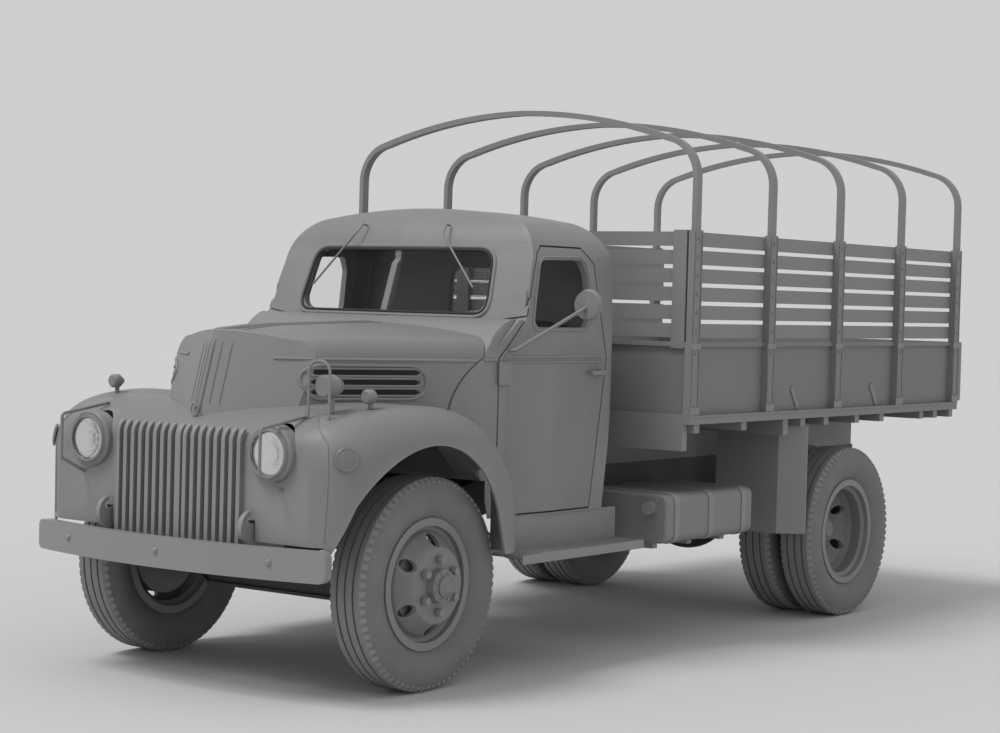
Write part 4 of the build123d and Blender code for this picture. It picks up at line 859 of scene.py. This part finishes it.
strip_low, strip_high = 1.13, 2.0
panel_face = 1.0155
runs = []
for sign in (1, -1):
    out = (sign, 0, 0)
    for front in (2.72, 3.61):
        top = at(sign * panel_face, front, 1.245)
        foot = at(sign * panel_face, front + 0.07, 1.135)
        runs.append((top, foot, 0.030, 0.006, out))
    for post in posts:
        for shift in (-0.030, 0.030):
            foot = at(sign * side_out, post + shift, strip_low)
            top = at(sign * side_out, post + shift, strip_high)
            runs.append((foot, top, 0.010, 0.003, out))
        for low, high in ((1.130, 1.165), (1.440, 1.470)):
            foot = at(sign * side_out, post, low)
            top = at(sign * side_out, post, high)
            runs.append((foot, top, 0.085, 0.004, out))
bars("post_strips", runs, "truck", bed_paint)
print("strips", len(runs))

# %% Beads along the bed's sills
sill_out = side_out - 0.002
sill_z = 1.120
sill_run = [at(sill_out, bed_front + 0.01, sill_z), at(sill_out, bed_rear, sill_z)]
bead("sill_beads", both(sill_run), "truck", bed_paint, radius=0.006)

# %% [markdown]
# ## Lamps, reflectors and small fittings
# Behind each lens lies a bright bowl, and a small reflector sits on each fender's side.

# %% Reflector bowls and side reflectors
def turned(label, profile, origin, way, body, material, steps=40):
    """A solid of revolution; the profile is distance along the axis and radius."""
    shape = bmesh.new()
    quat = Vector(way).to_track_quat("Z", "Y")
    rings = []
    for along, radius in profile:
        ring = []
        if radius < 1e-6:
            ring.append(shape.verts.new(origin + quat @ Vector((0, 0, along))))
        else:
            for step in range(steps):
                angle = 2 * math.pi * step / steps
                ring.append(shape.verts.new(origin + quat @ Vector((radius * math.cos(angle),
                                                                    radius * math.sin(angle), along))))
        rings.append(ring)
    for low, high in zip(rings, rings[1:]):
        for step in range(steps):
            following = (step + 1) % steps
            if len(low) == 1 and len(high) > 1:
                shape.faces.new((low[0], high[step], high[following]))
            elif len(high) == 1 and len(low) > 1:
                shape.faces.new((low[step], low[following], high[0]))
            elif len(low) > 1:
                shape.faces.new((low[step], low[following], high[following], high[step]))
    bmesh.ops.recalc_face_normals(shape, faces=shape.faces)
    mesh = bpy.data.meshes.new(label)
    shape.to_mesh(mesh)
    shape.free()
    return keep(label, mesh, body, material)


bowl_profile = [(0.0005, 0.0), (0.0007, 0.03), (0.0012, 0.06), (0.0016, 0.086), (0.0008, 0.0875),
                (0.0002, 0.0875), (0.0002, 0.0)]
reflector_profile = [(0.0, 0.0), (0.0, 0.050), (0.008, 0.050), (0.012, 0.044), (0.010, 0.040),
                     (0.014, 0.02), (0.015, 0.0)]
for side, sign in (("left", 1), ("right", -1)):
    turned(f"lamp_bowl_{side}", bowl_profile, at(sign * 0.523, -0.683, 1.012), (0, -1, 0), "truck",
           bright_metal)
    turned(f"side_reflector_{side}", reflector_profile, at(sign * 0.841, -0.575, 1.003),
           (sign * 0.76, -0.64, 0.13), "truck", reflector_lens)

# %% [markdown]
# ## Bumper bolts, latch and mirror
# Three round-headed bolts hold the bumper, the hood's point ends in a small latch ring, and the
# mirror's head carries a round glass that faces the driver.

# %% Bumper bolts, latch ring and mirror glass
bumper_skin = skin_of("front_bumper")
bolts = []
for x in (-0.58, 0.0, 0.58):
    hit, normal = land(bumper_skin, at(x, -1.2, 0.582), (0, 1, 0), 0.002)
    bolts.append((hit, normal))
heads("bumper_bolts", bolts, "truck", body_paint, radius=0.015, height=0.008, top=0.55, sides=16)

latch, _ = land(hood_skin, at(0, -1.2, 1.16), (0, 1, 0), 0.004)
ring_steps = 24
ring = []
for step in range(ring_steps):
    angle = 2 * math.pi * step / ring_steps
    ring.append(latch + Vector((0.020 * math.cos(angle), -0.004, 0.026 * math.sin(angle))))
bead("hood_latch_ring", [ring], "hood", body_paint, radius=0.004, closed=True)

mirror_profile = [(0.0, 0.0), (0.0, 0.064), (0.0012, 0.064), (0.0022, 0.0)]
turned("mirror_glass", mirror_profile, at(0.955, 0.9405, 1.640), (0, 1, 0), "door_left", bright_metal)
print("latch ring at", [round(v, 3) for v in latch])

# %% [markdown]
# ## Seat
# The bench has a cushion and a back rest. Each becomes a crowned pad by rounding a fine grid of
# points to a soft box, and a piping runs along the cushion's front edge.

# %% Seat pads
def pad(label, low, high, crown):
    """A crowned cushion inside the given box: a high power keeps a ball's points close to the box."""
    shape = bmesh.new()
    cuts = 14
    power = 9
    middle_point = (low + high) / 2
    half = (high - low) / 2
    bmesh.ops.create_cube(shape, size=2)
    bmesh.ops.subdivide_edges(shape, edges=shape.edges[:], cuts=cuts, use_grid_fill=True)
    for vert in shape.verts:
        p = vert.co.copy()
        length = (abs(p.x) ** power + abs(p.y) ** power + abs(p.z) ** power) ** (1 / power)
        p = p / length
        pull = 1 - crown * (abs(p.x) ** 6 * abs(p.z) + abs(p.y) ** 6 * abs(p.z))
        vert.co = middle_point + Vector((p.x * half.x, p.y * half.y, p.z * half.z * pull))
    bmesh.ops.recalc_face_normals(shape, faces=shape.faces)
    mesh = bpy.data.meshes.new(label)
    shape.to_mesh(mesh)
    shape.free()
    return keep(label, mesh, "truck", seat_cloth)


cushion = pad("seat_cushion", at(-0.64, 0.835, 0.884), at(0.64, 1.27, 1.165), 0.25)
back_rest = pad("seat_back", at(-0.64, 1.235, 1.172), at(0.64, 1.345, 1.558), 0.1)
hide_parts("seat")
piping = [at(-0.628, 0.842, 1.135), at(0.628, 0.842, 1.135)]
bead("seat_piping", [piping], "truck", seat_cloth, radius=0.005)
print("seat pads", cushion.name, back_rest.name)

# %% [markdown]
# ## Floor, light and camera
# A pale floor and a pale surround stand in for the picture's studio, one soft sun and an even sky
# light the truck, and the backdrop has the tone that the floor renders at, so that no horizon shows.
# The camera is the one that the picture's perspective gives: its place, its three turns and its lens
# were solved from the truck.

# %% Levels
sky_level = 0.62
sun_level = 1.5
sun_slope = 0.87
floor_tone = 0.60
backdrop_tone = floor_tone * (sky_level + sun_level * sun_slope / math.pi)
print("floor and backdrop render at", round(backdrop_tone, 3))

# %% Floor
reach = 60
corners = [(-reach, -reach, 0), (reach, -reach, 0), (reach, reach, 0), (-reach, reach, 0)]
floor_mesh = bpy.data.meshes.new("studio_floor")
floor_mesh.from_pydata(corners, [], [(0, 1, 2, 3)])
floor = bpy.data.objects.new("studio_floor", floor_mesh)
bpy.context.scene.collection.objects.link(floor)
floor_paint = bpy.data.materials.new("floor_paint")
floor_paint.use_nodes = True
floor_shader = floor_paint.node_tree.nodes["Principled BSDF"]
floor_shader.inputs["Base Color"].default_value = (floor_tone, floor_tone, floor_tone, 1)
floor_shader.inputs["Roughness"].default_value = 0.9
floor_shader.inputs["Specular IOR Level"].default_value = 0.1
floor_mesh.materials.append(floor_paint)

# %% Surround
world = bpy.data.worlds.new("studio")
bpy.context.scene.world = world
world.use_nodes = True
world_tree = world.node_tree
background = world_tree.nodes["Background"]
background.inputs["Color"].default_value = (1, 1, 1, 1)
background.inputs["Strength"].default_value = sky_level
seen = world_tree.nodes.new("ShaderNodeBackground")
seen.inputs["Color"].default_value = (backdrop_tone, backdrop_tone, backdrop_tone, 1)
seen.inputs["Strength"].default_value = 1.0
rays = world_tree.nodes.new("ShaderNodeLightPath")
mix = world_tree.nodes.new("ShaderNodeMixShader")
world_tree.links.new(rays.outputs["Is Camera Ray"], mix.inputs["Fac"])
world_tree.links.new(background.outputs["Background"], mix.inputs[1])
world_tree.links.new(seen.outputs["Background"], mix.inputs[2])
world_tree.links.new(mix.outputs["Shader"], world_tree.nodes["World Output"].inputs["Surface"])

# %% Sun
sun_spread = 22
sun_light = bpy.data.lights.new("key_light", "SUN")
sun_light.energy = sun_level
sun_light.angle = math.radians(sun_spread)
sun = bpy.data.objects.new("key_light", sun_light)
bpy.context.scene.collection.objects.link(sun)
sun.rotation_euler = Vector((0.35, 0.62, -1.25)).to_track_quat("-Z", "Y").to_euler()

# %% Camera
focal_px = 2174.5
picture_px = 1000
sensor = 36
turn = math.radians(36.3852)
pitch = math.radians(1.8121)
roll = math.radians(1.5385)
ahead = Vector((-math.sin(turn) * math.cos(pitch), math.cos(turn) * math.cos(pitch), -math.sin(pitch)))
right = Vector((math.cos(turn), math.sin(turn), 0))
up = right.cross(ahead)
level_right = right * math.cos(roll) + up * math.sin(roll)
level_up = up * math.cos(roll) - right * math.sin(roll)
lens = bpy.data.cameras.new("camera")
lens.sensor_width = sensor
lens.lens = focal_px / picture_px * sensor
camera = bpy.data.objects.new("camera", lens)
bpy.context.scene.collection.objects.link(camera)
place = Matrix((level_right, level_up, -ahead)).transposed().to_4x4()
place.translation = Vector((6.4335, -7.1559 + axle_y, 1.6627))
camera.matrix_world = place
bpy.context.scene.camera = camera
bpy.context.scene.view_settings.view_transform = "Standard"
